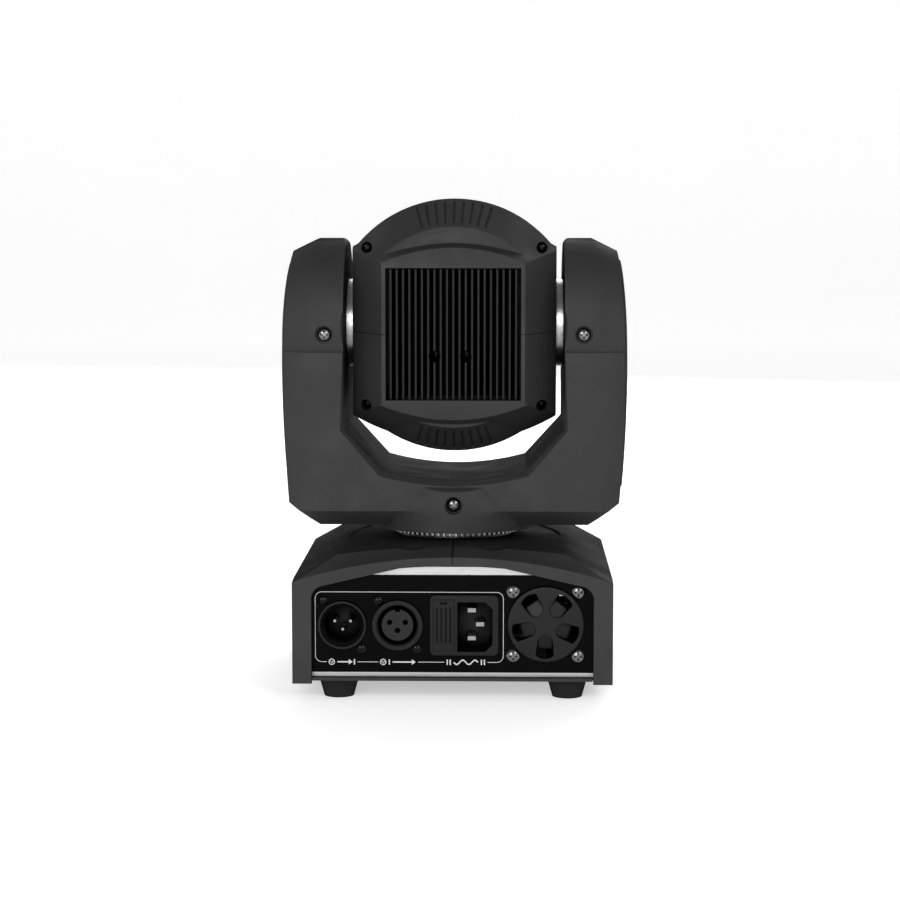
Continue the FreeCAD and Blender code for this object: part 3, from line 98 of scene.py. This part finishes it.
# Edges sharper than this stay sharp, and points closer than this are one
SHARP_EDGE = math.radians(24)
WELD_DISTANCE = 0.002 * MM

# Floor, with its backdrop curving up behind
FLOOR_HALF = 6.0
BACKDROP_Y = -3.0
BACKDROP_RADIUS = 1.6
BACKDROP_STEPS = 16
FLOOR_GLOW = 0.45

# Lights: name, place, width and height, power in watts
LIGHT_TARGET = (0, 0, 0.13)
LIGHTS = (
    ("key", (0.45, 1.8, 0.6), (1.4, 1.0), 24),
    ("glint", (-0.75, 1.5, 0.9), (0.4, 0.4), 7),
    ("fill_front", (-0.5, -1.7, 0.8), (1.4, 1.0), 24),
)
HORIZON_LEVEL = 0.95
CEILING_LEVEL = 0.3


# ------------------------------------------------------------------ node helpers

def node(tree, kind, inputs=None, **settings):
    """Adds one shader node. An input is a plain value or another node's output."""
    made = tree.nodes.new(kind)
    for key, value in settings.items():
        setattr(made, key, value)
    for key, value in (inputs or {}).items():
        if isinstance(value, bpy.types.NodeSocket):
            tree.links.new(value, made.inputs[key])
        else:
            made.inputs[key].default_value = value
    return made


def math_node(tree, operation, first, second):
    return node(tree, "ShaderNodeMath", {0: first, 1: second}, operation=operation).outputs[0]


def ramp(tree, factor, low, high, low_value=0.0, high_value=1.0):
    """Maps low..high onto low_value..high_value, smoothly and clamped."""
    inputs = {"Value": factor, "From Min": low, "From Max": high, "To Min": low_value, "To Max": high_value}
    return node(tree, "ShaderNodeMapRange", inputs, interpolation_type="SMOOTHSTEP").outputs["Result"]


def place(tree, stretch=(1, 1, 1)):
    """Position on the object at rest, in metres, stretched along the axes."""
    here = node(tree, "ShaderNodeTexCoord").outputs["Object"]
    return node(tree, "ShaderNodeVectorMath", {0: here, 1: stretch}, operation="MULTIPLY").outputs[0]


def noise(tree, size, detail=3.0, roughness=0.55, stretch=(1, 1, 1)):
    """Noise whose features are about size metres across."""
    inputs = {"Vector": place(tree, stretch), "Scale": 1.0 / size, "Detail": detail, "Roughness": roughness}
    return node(tree, "ShaderNodeTexNoise", inputs).outputs["Fac"]


def cells(tree, size):
    """Distance to the nearest of scattered points that are about size metres apart."""
    made = node(tree, "ShaderNodeTexVoronoi", {"Vector": place(tree), "Scale": 1.0 / size})
    return made.outputs["Distance"]


def rounded_normal(tree, radius):
    return node(tree, "ShaderNodeBevel", {"Radius": radius}, samples=4).outputs["Normal"]


def edge_mask(tree, radius):
    """Bright along convex and concave edges: how far the rounded normal leans from the real one. It masks the
    painted edge highlight and wear.
    """
    geometry = node(tree, "ShaderNodeNewGeometry")
    dot = node(tree, "ShaderNodeVectorMath", {0: rounded_normal(tree, radius), 1: geometry.outputs["Normal"]},
               operation="DOT_PRODUCT")
    lean = math_node(tree, "SUBTRACT", 1.0, dot.outputs["Value"])
    return ramp(tree, lean, 0.02, 0.35)


def bump(tree, height, distance, normal=None):
    inputs = {"Height": height, "Distance": distance, "Strength": 1.0}
    if normal is not None:
        inputs["Normal"] = normal
    return node(tree, "ShaderNodeBump", inputs).outputs["Normal"]


def matte_gloss(level, recess=None):
    """Specular level of a textured surface: full when seen squarely, less along it, and cut down in a recess
    as painted shade.
    """
    def made(tree):
        facing = node(tree, "ShaderNodeLayerWeight", {"Blend": 0.5}).outputs["Facing"]
        plain = ramp(tree, facing, GLOSS_STARTS_TO_FADE, GLOSS_GONE, level, GLOSS_LEFT)
        if recess is None:
            return plain
        return math_node(tree, "MULTIPLY", plain, math_node(tree, "SUBTRACT", 1.0, cavity(tree, recess)))

    return made


def cavity(tree, reach):
    """1 down in a recess that is about reach metres deep, 0 on open faces: the mask of the painted shade in
    recesses.
    """
    open_part = node(tree, "ShaderNodeAmbientOcclusion", {"Distance": reach}, samples=8).outputs["AO"]
    return ramp(tree, open_part, 0.75, 0.35)


def with_painted_recess_shade(tree, recess, tone, level, tint=NEUTRAL):
    """Tone with painted shade that turns it almost black down in a recess, where one is given."""
    return tone if recess is None else mixed(tree, cavity(tree, recess), tone, shade(level * 0.1, tint))


def mixed(tree, factor, first, second):
    """Colour between first and second."""
    made = node(tree, "ShaderNodeMix", data_type="RGBA")
    for index, value in ((0, factor), (6, first), (7, second)):
        if isinstance(value, bpy.types.NodeSocket):
            tree.links.new(value, made.inputs[index])
        else:
            made.inputs[index].default_value = value
    return made.outputs[2]


def colour(r, g, b):
    return (r, g, b, 1.0)


def shade(level, tint=NEUTRAL):
    return colour(*(level * t for t in tint))


def material(name, base, roughness, metallic=0.0, normal=None, **extra):
    """Principled material. Each input is a value, or a function that makes it in the node tree."""
    made = bpy.data.materials.new(name)
    made.use_nodes = True
    tree = made.node_tree
    surface = tree.nodes["Principled BSDF"]
    settings = {"Base Color": base, "Roughness": roughness, "Metallic": metallic, "Normal": normal, **extra}
    for key, value in settings.items():
        if value is None:
            continue
        if callable(value):
            value = value(tree)
        if isinstance(value, bpy.types.NodeSocket):
            tree.links.new(value, surface.inputs[key])
        else:
            surface.inputs[key].default_value = value
    return made


# ------------------------------------------------------------------ materials

def moulded(name, level, roughness, grain, depth, edge_highlight_and_wear_amount=0.35, radius=0.5 * MM, gloss=0.25, tint=GREENISH,
            recess=None):
    """Moulded plastic: spark-eroded grain, uneven tone, edges lightened by wear and painted highlight, and
    painted shade in recesses that deep.
    """
    def base(tree):
        patches = ramp(tree, noise(tree, 35 * MM, 4.0), 0.3, 0.7)
        plain = mixed(tree, patches, shade(level * 0.9, tint), shade(level * 1.1, tint))
        specks = ramp(tree, noise(tree, grain * 1.7, 2.0), 0.35, 0.75, 0.0, 0.35)
        speckled = mixed(tree, specks, plain, shade(level * 1.35, tint))
        # Edges lightened: part wear, part painted highlight
        edge_highlight_and_wear = math_node(tree, "MULTIPLY", edge_mask(tree, radius * 1.2), edge_highlight_and_wear_amount)
        highlit_and_rubbed = mixed(tree, edge_highlight_and_wear, speckled, shade(level * 2.1, tint))
        # Painted shade: almost black down in recesses, where a recess depth is given
        return with_painted_recess_shade(tree, recess, highlit_and_rubbed, level, tint)

    def rough(tree):
        handled = ramp(tree, noise(tree, 22 * MM, 5.0, 0.6), 0.35, 0.75)
        return ramp(tree, handled, 0.0, 1.0, roughness + 0.05, roughness - 0.07)

    def normal(tree):
        pits = math_node(tree, "MULTIPLY", cells(tree, grain * 2.2), 0.5)
        fine = math_node(tree, "ADD", noise(tree, grain, 2.0, 0.6), pits)
        return bump(tree, fine, depth, rounded_normal(tree, radius))

    return material(name, base, rough, normal=normal, **{"Specular IOR Level": matte_gloss(gloss, recess)})


def gloss_panel():
    """Black overlay with a hard gloss, faint ripples and fine wiping scratches."""
    def rough(tree):
        wiped = ramp(tree, noise(tree, 3 * MM, 6.0, 0.7, (0.25, 1, 1)), 0.5, 0.8)
        return ramp(tree, wiped, 0.0, 1.0, 0.12, 0.3)

    def normal(tree):
        return bump(tree, noise(tree, 14 * MM, 1.0), 0.02 * MM, rounded_normal(tree, 0.2 * MM))

    def base(tree):
        return mixed(tree, noise(tree, 30 * MM), shade(0.001), shade(0.002))

    return material("gloss_panel", base, rough, normal=normal, **{"Specular IOR Level": 0.03})


def brushed(name, level, roughness, along, recess=None):
    """Rolled or brushed metal: streaks along one axis, small stains, and painted shade in recesses that deep.
    """
    stretch = {"x": (0.02, 1, 1), "y": (1, 0.02, 1), "z": (1, 1, 0.02)}[along]

    def base(tree):
        streaks = ramp(tree, noise(tree, 0.5 * MM, 4.0, 0.7, stretch), 0.3, 0.7)
        plain = mixed(tree, streaks, shade(level * 0.82, STEEL_TINT), shade(level, STEEL_TINT))
        stains = ramp(tree, noise(tree, 9 * MM, 5.0), 0.55, 0.8, 0.0, 0.3)
        stained = mixed(tree, stains, plain, shade(level * 0.6, STEEL_TINT))
        # Painted shade: almost black down in recesses, where a recess depth is given
        return with_painted_recess_shade(tree, recess, stained, level, STEEL_TINT)

    def rough(tree):
        streaks = noise(tree, 0.35 * MM, 3.0, 0.7, stretch)
        return ramp(tree, streaks, 0.25, 0.75, roughness - 0.08, roughness + 0.1)

    def normal(tree):
        scratches = noise(tree, 0.3 * MM, 3.0, 0.7, stretch)
        return bump(tree, scratches, 0.006 * MM, rounded_normal(tree, 0.2 * MM))

    return material(name, base, rough, metallic=1.0, normal=normal)


def plated(name, level, roughness, recess=1.2 * MM):
    """Nickel plated screws and contacts, tarnished in patches, with warm painted shade in recesses that deep.
    """
    def base(tree):
        dull = ramp(tree, noise(tree, 1.6 * MM, 5.0), 0.45, 0.75, 0.0, 0.45)
        plain = mixed(tree, dull, shade(level, NICKEL_TINT), shade(level * 0.5, NICKEL_TINT))
        # Painted shade: warm near-black down in recesses such as screw crosses
        return mixed(tree, cavity(tree, recess), plain, shade(level * 0.06, PAINTED_SHADE_TINT))

    def rough(tree):
        return ramp(tree, noise(tree, 0.7 * MM, 4.0), 0.3, 0.8, roughness - 0.05, roughness + 0.15)

    def normal(tree):
        return bump(tree, noise(tree, 0.5 * MM, 3.0), 0.01 * MM, rounded_normal(tree, 0.18 * MM))

    return material(name, base, rough, metallic=1.0, normal=normal)


def coated(name, level, roughness, metallic=0.0, depth=0.012 * MM, gloss=0.3, recess=None):
    """Powder coat or anodising: fine orange peel, edges lightened by wear and painted highlight, and painted
    shade in recesses that deep.
    """
    def base(tree):
        plain = mixed(tree, noise(tree, 12 * MM), shade(level * 0.85), shade(level * 1.15))
        # Edges lightened: part wear, part painted highlight
        edge_highlight_and_wear = math_node(tree, "MULTIPLY", edge_mask(tree, 0.2 * MM), 0.6)
        # Painted shade: almost black down in recesses, where a recess depth is given
        return with_painted_recess_shade(tree, recess, mixed(tree, edge_highlight_and_wear, plain, shade(level * 3.5)), level)

    def rough(tree):
        return ramp(tree, noise(tree, 4 * MM, 4.0), 0.3, 0.75, roughness - 0.06, roughness + 0.08)

    def normal(tree):
        return bump(tree, noise(tree, 0.6 * MM, 2.0), depth, rounded_normal(tree, 0.15 * MM))

    sheen = {"Specular IOR Level": matte_gloss(gloss, recess)}
    return material(name, base, rough, metallic=metallic, normal=normal, **sheen)


def rubber(name, level):
    """Moulded rubber with dust caught in patches."""
    def base(tree):
        dust = ramp(tree, noise(tree, 2.5 * MM, 6.0, 0.7), 0.5, 0.85, 0.0, 0.3)
        return mixed(tree, dust, shade(level), shade(level * 2.2, DUST_TINT))

    def normal(tree):
        return bump(tree, noise(tree, 0.5 * MM, 4.0), 0.03 * MM, rounded_normal(tree, 0.6 * MM))

    return material(name, base, 0.78, normal=normal, **{"Specular IOR Level": matte_gloss(0.2)})


def clear(name, tint, roughness, ior=1.5, coat=0.0):
    """Glass or tinted acrylic, with light wipe marks in the gloss."""
    def rough(tree):
        return ramp(tree, noise(tree, 5 * MM, 5.0, 0.7), 0.5, 0.85, roughness, roughness + 0.05)

    def base(tree):
        return mixed(tree, noise(tree, 25 * MM), colour(*tint), colour(*(0.94 * t for t in tint)))

    return material(name, base, rough, normal=lambda tree: bump(tree, noise(tree, 9 * MM), 0.004 * MM),
                    **{"Transmission Weight": 1.0, "IOR": ior, "Coat Weight": coat})


def circuit_board():
    """Green solder mask over copper tracks."""
    def base(tree):
        tracks = ramp(tree, cells(tree, 3.2 * MM), 0.44, 0.5)
        mask = mixed(tree, tracks, colour(0.012, 0.075, 0.028), colour(0.03, 0.14, 0.05))
        pads = ramp(tree, cells(tree, 2.1 * MM), 0.1, 0.06)
        return mixed(tree, pads, mask, colour(0.55, 0.5, 0.36))

    def normal(tree):
        return bump(tree, cells(tree, 3.2 * MM), 0.05 * MM, rounded_normal(tree, 0.1 * MM))

    return material("circuit_board", base, 0.35, normal=normal)


def component_cases():
    """Blue, black and cream cases of the parts on the power supply board, by their place."""
    def base(tree):
        patch = node(tree, "ShaderNodeTexVoronoi", {"Vector": place(tree), "Scale": 55.0})
        tone = mixed(tree, ramp(tree, patch.outputs["Color"], 0.35, 0.55), colour(0.02, 0.035, 0.1),
                     colour(0.05, 0.05, 0.055))
        return mixed(tree, ramp(tree, noise(tree, 0.4 * MM), 0.4, 0.8, 0.0, 0.2), tone, shade(0.12))

    return material("component_cases", base, 0.4, normal=lambda tree: rounded_normal(tree, 0.4 * MM))


def printed_ink():
    """White screen print, slightly uneven."""
    def base(tree):
        return mixed(tree, ramp(tree, noise(tree, 0.8 * MM, 4.0), 0.35, 0.7), shade(0.42), shade(0.52))

    def normal(tree):
        return bump(tree, noise(tree, 0.3 * MM), 0.006 * MM)

    return material("printed_ink", base, 0.45, normal=normal)


def all_materials():
    """One finish for each of the record's material slots."""
    return {
        "shell_plastic": moulded("shell_plastic", 0.0165, 0.6, 0.42 * MM, 0.035 * MM, gloss=0.25),
        "panel_plastic": gloss_panel(),
        "socket_plastic": moulded("socket_plastic", 0.004, 0.36, 0.3 * MM, 0.008 * MM, edge_highlight_and_wear_amount=0.7,
                                  radius=0.35 * MM, gloss=0.16, recess=9 * MM),
        "insert_plastic": moulded("insert_plastic", 0.010, 0.42, 0.3 * MM, 0.008 * MM, radius=0.3 * MM,
                                  gloss=0.15, recess=6 * MM),
        "fan_plastic": moulded("fan_plastic", 0.0035, 0.4, 0.35 * MM, 0.012 * MM, edge_highlight_and_wear_amount=0.8, gloss=0.18,
                               tint=NEUTRAL, recess=9 * MM),
        "button_plastic": moulded("button_plastic", 0.03, 0.45, 0.3 * MM, 0.01 * MM),
        "painted_steel": coated("painted_steel", 0.012, 0.5),
        "bare_steel": brushed("bare_steel", 0.45, 0.34, "x"),
        "contact_metal": plated("contact_metal", 0.3, 0.2, recess=9 * MM),
        "bright_screw": plated("bright_screw", 0.17, 0.2),
        "dark_screw": plated("dark_screw", 0.02, 0.28),
        "foot_rubber": rubber("foot_rubber", 0.006),
        "belt_rubber": rubber("belt_rubber", 0.02),
        "window_tint": clear("window_tint", (0.14, 0.008, 0.008), 0.04),
        "fuse_glass": clear("fuse_glass", (0.9, 0.94, 0.92), 0.03),
        "board_laminate": circuit_board(),
        "component_plastic": component_cases(),
        "sink_anodised": coated("sink_anodised", 0.003, 0.4, depth=0.005 * MM, gloss=0.14, recess=10 * MM),
        "bright_aluminium": brushed("bright_aluminium", 0.62, 0.28, "z", recess=3.5 * MM),
        "motor_metal": coated("motor_metal", 0.09, 0.4, metallic=0.5),
        "bearing_steel": brushed("bearing_steel", 0.75, 0.2, "z"),
        "lens_glass": clear("lens_glass", (0.93, 0.97, 1.0), 0.0, ior=1.52, coat=0.6),
        "gobo_metal": coated("gobo_metal", 0.12, 0.4, metallic=0.8),
    }


# ------------------------------------------------------------------ CAD pieces

def smoothing_group():
    """Geometry nodes: welds the tessellated faces and shades smooth, except over sharp edges."""
    group = bpy.data.node_groups.new("weld_and_smooth", "GeometryNodeTree")
    group.interface.new_socket("Geometry", in_out="INPUT", socket_type="NodeSocketGeometry")
    group.interface.new_socket("Geometry", in_out="OUTPUT", socket_type="NodeSocketGeometry")
    start = group.nodes.new("NodeGroupInput")
    end = group.nodes.new("NodeGroupOutput")
    weld = node(group, "GeometryNodeMergeByDistance",
                {"Geometry": start.outputs[0], "Distance": WELD_DISTANCE})
    faces = node(group, "GeometryNodeSetShadeSmooth", {"Geometry": weld.outputs[0], "Shade Smooth": True},
                 domain="FACE")
    angle = node(group, "GeometryNodeInputMeshEdgeAngle")
    shallow = node(group, "FunctionNodeCompare", {0: angle.outputs["Unsigned Angle"], 1: SHARP_EDGE},
                   data_type="FLOAT", operation="LESS_THAN")
    edges = node(group, "GeometryNodeSetShadeSmooth",
                 {"Geometry": faces.outputs[0], "Shade Smooth": shallow.outputs[0]}, domain="EDGE")
    group.links.new(edges.outputs[0], end.inputs[0])
    return group


def dress_cad(finishes):
    """Gives every CAD node its slot's material and smooth shading."""
    slots = {row["node"]: row["material_slot"] for row in frame["record"]["subparts"]}
    smoothing = smoothing_group()
    for name, piece in frame["nodes"].items():
        piece.data.materials.clear()
        piece.data.materials.append(finishes[slots[name]])
        modifier = piece.modifiers.new("smooth", "NODES")
        modifier.node_group = smoothing


# ------------------------------------------------------------------ printed marks

def new_piece(name, mesh, finish, body):
    piece = bpy.data.objects.new(name, mesh)
    bpy.context.scene.collection.objects.link(piece)
    piece.data.materials.append(finish)
    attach(piece, body)
    return piece


class Print:
    """Flat print on an upright panel: strokes and filled shapes given by their x and z."""

    def __init__(self, y, outward):
        self.mesh = bmesh.new()
        self.y = y
        self.face_y = y + outward * INK

    def polygon(self, points):
        """Filled polygon, raised by the ink's thickness."""
        back = [self.mesh.verts.new((x, self.y, z)) for x, z in points]
        face = [self.mesh.verts.new((x, self.face_y, z)) for x, z in points]
        self.mesh.faces.new(face)
        self.mesh.faces.new(back[::-1])
        for k in range(len(points)):
            n = (k + 1) % len(points)
            self.mesh.faces.new((back[k], back[n], face[n], face[k]))

    def stroke(self, points, width=LINE):
        """Line of even width with mitred joints."""
        path = [Vector(p) for p in points]
        left, right = [], []
        for k, here in enumerate(path):
            before = (here - path[k - 1]).normalized() if k else None
            after = (path[k + 1] - here).normalized() if k + 1 < len(path) else None
            if before is None:
                before = after
            if after is None:
                after = before
            side = Vector((-(before.y + after.y), before.x + after.x)).normalized()
            reach = width / 2 / max(0.3, side.dot(Vector((-before.y, before.x))))
            left.append(here + side * reach)
            right.append(here - side * reach)
        for k in range(len(path) - 1):
            self.polygon([left[k], left[k + 1], right[k + 1], right[k]])

    def ring(self, centre, radius, width):
        points = circle_points(centre, radius, 32)
        self.stroke(points + points[:1], width)

    def dot(self, centre, radius, steps=16):
        self.polygon(circle_points(centre, radius, steps))

    def finish(self, name, ink, body, slot):
        bmesh.ops.recalc_face_normals(self.mesh, faces=self.mesh.faces)
        mesh = bpy.data.meshes.new(name)
        self.mesh.to_mesh(mesh)
        self.mesh.free()
        return new_piece(name, mesh, ink, body)


def on_circle(x, z, radius, degrees):
    turn = math.radians(degrees)
    return (x + radius * math.cos(turn), z + radius * math.sin(turn))


def circle_points(centre, radius, steps):
    return [on_circle(*centre, radius, 360 * k / steps) for k in range(steps)]


def corner_arc(x, z, radius, start):
    """Quarter circle about (x, z) from the start angle, in degrees."""
    steps = 6
    return [on_circle(x, z, radius, start + 90 * k / steps) for k in range(steps + 1)]


def frame_path(x0, x1, z0, z1, radius):
    """Rounded rectangle, from its corner at (x1, z0) round by way of x1 and x0 to its corner at (x0, z0)."""
    left, right = x0 + radius, x1 - radius
    low, high = z0 + radius, z1 - radius
    return (corner_arc(right, low, radius, 270) + corner_arc(right, high, radius, 0)
            + corner_arc(left, high, radius, 90) + corner_arc(left, low, radius, 180))


def bar(sheet, x, z):
    sheet.stroke([(x, z - MARK_HALF), (x, z + MARK_HALF)], BOLD)


def arrow(sheet, tail, tip, z):
    """Bold arrow from tail to tip, towards -X, which is to the right for someone behind the object."""
    neck = tip + 1.9 * MM
    sheet.stroke([(tail, z), (neck, z)], BOLD)
    sheet.polygon([(tip, z), (neck, z + MARK_HALF), (neck, z - MARK_HALF)])


def pin_ring(sheet, x, z):
    """Face of a three-pin plug: a ring with three dots."""
    sheet.ring((x, z), MARK_HALF, 0.42 * MM)
    for dx, dz in ((-0.52, 0.22), (0.52, 0.22), (0, -0.5)):
        sheet.dot((x + dx * MM, z + dz * MM), 0.3 * MM, 10)


def input_mark(sheet, x, z, half):
    """Plug face, then an arrow that runs into a bar."""
    pin_ring(sheet, x + half - MARK_HALF, z)
    arrow(sheet, x + half - 4.2 * MM, x - half + 1.3 * MM, z)
    bar(sheet, x - half + 0.4 * MM, z)


def output_mark(sheet, x, z, half):
    """Plug face, then an arrow that leaves a bar."""
    pin_ring(sheet, x + half - MARK_HALF, z)
    bar(sheet, x + half - 4.4 * MM, z)
    arrow(sheet, x + half - 6.0 * MM, x - half, z)


def mains_mark(sheet, x, z, half):
    """Sine wave between two pairs of bars."""
    steps = 32
    reach = half - 3.6 * MM
    wave = []
    for k in range(steps + 1):
        turn = 2 * k / steps - 1
        wave.append((x + reach * turn, z + 0.8 * MARK_HALF * math.sin(turn * 2 * math.pi)))
    sheet.stroke(wave, BOLD)
    for side in (-1, 1):
        for shift in (0.4, 1.9):
            bar(sheet, x + side * (half - shift * MM), z)


def middle_x(box):
    return (box[0].x + box[1].x) / 2


def rear_print(ink):
    """Frame line round the sockets with three marks set into its lower side. The fan stays outside it."""
    sheet = Print(PANEL_Y, 1)
    marks = [(input_mark, middle_x(DMX_IN) + 0.2 * MM, INPUT_MARK_HALF),
             (output_mark, middle_x(DMX_OUT) - 0.2 * MM, OUTPUT_MARK_HALF),
             (mains_mark, middle_x(INLET) - 0.8 * MM, MAINS_MARK_HALF)]
    ends = []
    for draw, x, half in marks:
        draw(sheet, x, FRAME_BOTTOM, half)
        ends += [x + half + MARK_MARGIN, x - half - MARK_MARGIN]
    left = middle_x(DMX_IN) + FRAME_LEFT_REACH
    right = INLET[0].x - FRAME_RIGHT_GAP
    path = frame_path(right, left, FRAME_BOTTOM, FRAME_TOP, FRAME_RADIUS)
    sheet.stroke([(ends[0], FRAME_BOTTOM)] + path + [(ends[-1], FRAME_BOTTOM)])
    for start, end in ((ends[1], ends[2]), (ends[3], ends[4])):
        sheet.stroke([(start, FRAME_BOTTOM), (end, FRAME_BOTTOM)])
    return sheet.finish("rear_print", ink, "base", "panel_plastic")


def front_print(ink):
    """Line round the display and a generic symbol over each key."""
    sheet = Print(FRONT_Y, -1)
    lo, hi = WINDOW
    gap = WINDOW_LINE_GAP
    outline = frame_path(lo.x - gap, hi.x + gap, lo.z - gap, hi.z + gap, 2.5 * MM)
    sheet.stroke(outline + outline[:1])
    size = KEY_MARK_HALF
    for key in ("menu", "down", "up", "enter"):
        low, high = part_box("button_" + key)
        x, z = (low.x + high.x) / 2, low.z - KEY_MARK_DROP
        if key == "menu":
            for step in (-1, 0, 1):
                sheet.stroke([(x - size, z + step * 0.9 * MM), (x + size, z + step * 0.9 * MM)], 0.4 * MM)
        elif key == "enter":
            sheet.ring((x, z), size, 0.45 * MM)
            sheet.dot((x, z), 0.5 * MM)
        else:
            way = 1 if key == "up" else -1
            foot = z - way * size * 0.7
            sheet.polygon([(x, z + way * size), (x - size, foot), (x + size, foot)])
    return sheet.finish("front_print", ink, "base", "panel_plastic")


# ------------------------------------------------------------------ stage, light and camera

def pale_floor():
    """Large pale floor that curves up into a backdrop far behind the object."""
    mesh = bpy.data.meshes.new("studio_floor")
    radius = BACKDROP_RADIUS
    rows = [(FLOOR_HALF, 0.0), (BACKDROP_Y, 0.0)]
    for k in range(1, BACKDROP_STEPS + 1):
        turn = math.pi / 2 * k / BACKDROP_STEPS
        rows.append((BACKDROP_Y - radius * math.sin(turn), radius - radius * math.cos(turn)))
    rows.append((BACKDROP_Y - radius, FLOOR_HALF))
    verts = [(x, y, z) for y, z in rows for x in (-FLOOR_HALF, FLOOR_HALF)]
    faces = [(2 * k, 2 * k + 1, 2 * k + 3, 2 * k + 2) for k in range(len(rows) - 1)]
    mesh.from_pydata(verts, [], faces)
    for face in mesh.polygons:
        face.use_smooth = True
    floor = bpy.data.objects.new("studio_floor", mesh)
    bpy.context.scene.collection.objects.link(floor)

    def base(tree):
        return mixed(tree, noise(tree, 0.8), shade(0.8), shade(0.84))

    glow = {"Emission Color": shade(1.0), "Emission Strength": FLOOR_GLOW, "Specular IOR Level": 0.1}
    floor.data.materials.append(material("floor_paper", base, 0.8, **glow))


def area_light(name, place_at, size, power):
    """Rectangular lamp aimed at the middle of the object."""
    lamp = bpy.data.lights.new(name, "AREA")
    lamp.shape = "RECTANGLE"
    lamp.size, lamp.size_y = size
    lamp.energy = power
    holder = bpy.data.objects.new(name, lamp)
    holder.location = place_at
    aim = Vector(LIGHT_TARGET) - Vector(place_at)
    holder.rotation_euler = aim.to_track_quat("-Z", "Y").to_euler()
    bpy.context.scene.collection.objects.link(holder)


def surroundings():
    """White studio walls that darken towards the ceiling."""
    world = bpy.data.worlds.new("studio")
    world.use_nodes = True
    tree = world.node_tree
    direction = node(tree, "ShaderNodeTexCoord").outputs["Generated"]
    height = node(tree, "ShaderNodeSeparateXYZ", {"Vector": direction}).outputs["Z"]
    sky = mixed(tree, ramp(tree, height, 0.0, 0.6), shade(HORIZON_LEVEL), shade(CEILING_LEVEL))
    tree.links.new(sky, tree.nodes["Background"].inputs["Color"])
    bpy.context.scene.world = world


def studio():
    """Soft surroundings, a large low key light behind the camera, a small one beside it, a fill in front."""
    surroundings()
    bpy.context.scene.view_settings.view_transform = "Standard"
    for light in LIGHTS:
        area_light(*light)


def camera():
    data = bpy.data.cameras.new("camera")
    data.lens = FOCAL_MM
    data.sensor_width = 36.0
    azimuth = math.radians(CAMERA_AZIMUTH)
    holder = bpy.data.objects.new("camera", data)
    x, y = CAMERA_DISTANCE * math.sin(azimuth), -CAMERA_DISTANCE * math.cos(azimuth)
    holder.location = (x, y, CAMERA_HEIGHT)
    heading = math.radians(CAMERA_AZIMUTH + CAMERA_YAW)
    holder.rotation_euler = Euler((math.radians(90 - CAMERA_PITCH), 0, heading), "XYZ")
    bpy.context.scene.collection.objects.link(holder)
    bpy.context.scene.camera = holder


camera()
studio()
pale_floor()
dress_cad(all_materials())
white_ink = printed_ink()
rear_print(white_ink)
front_print(white_ink)
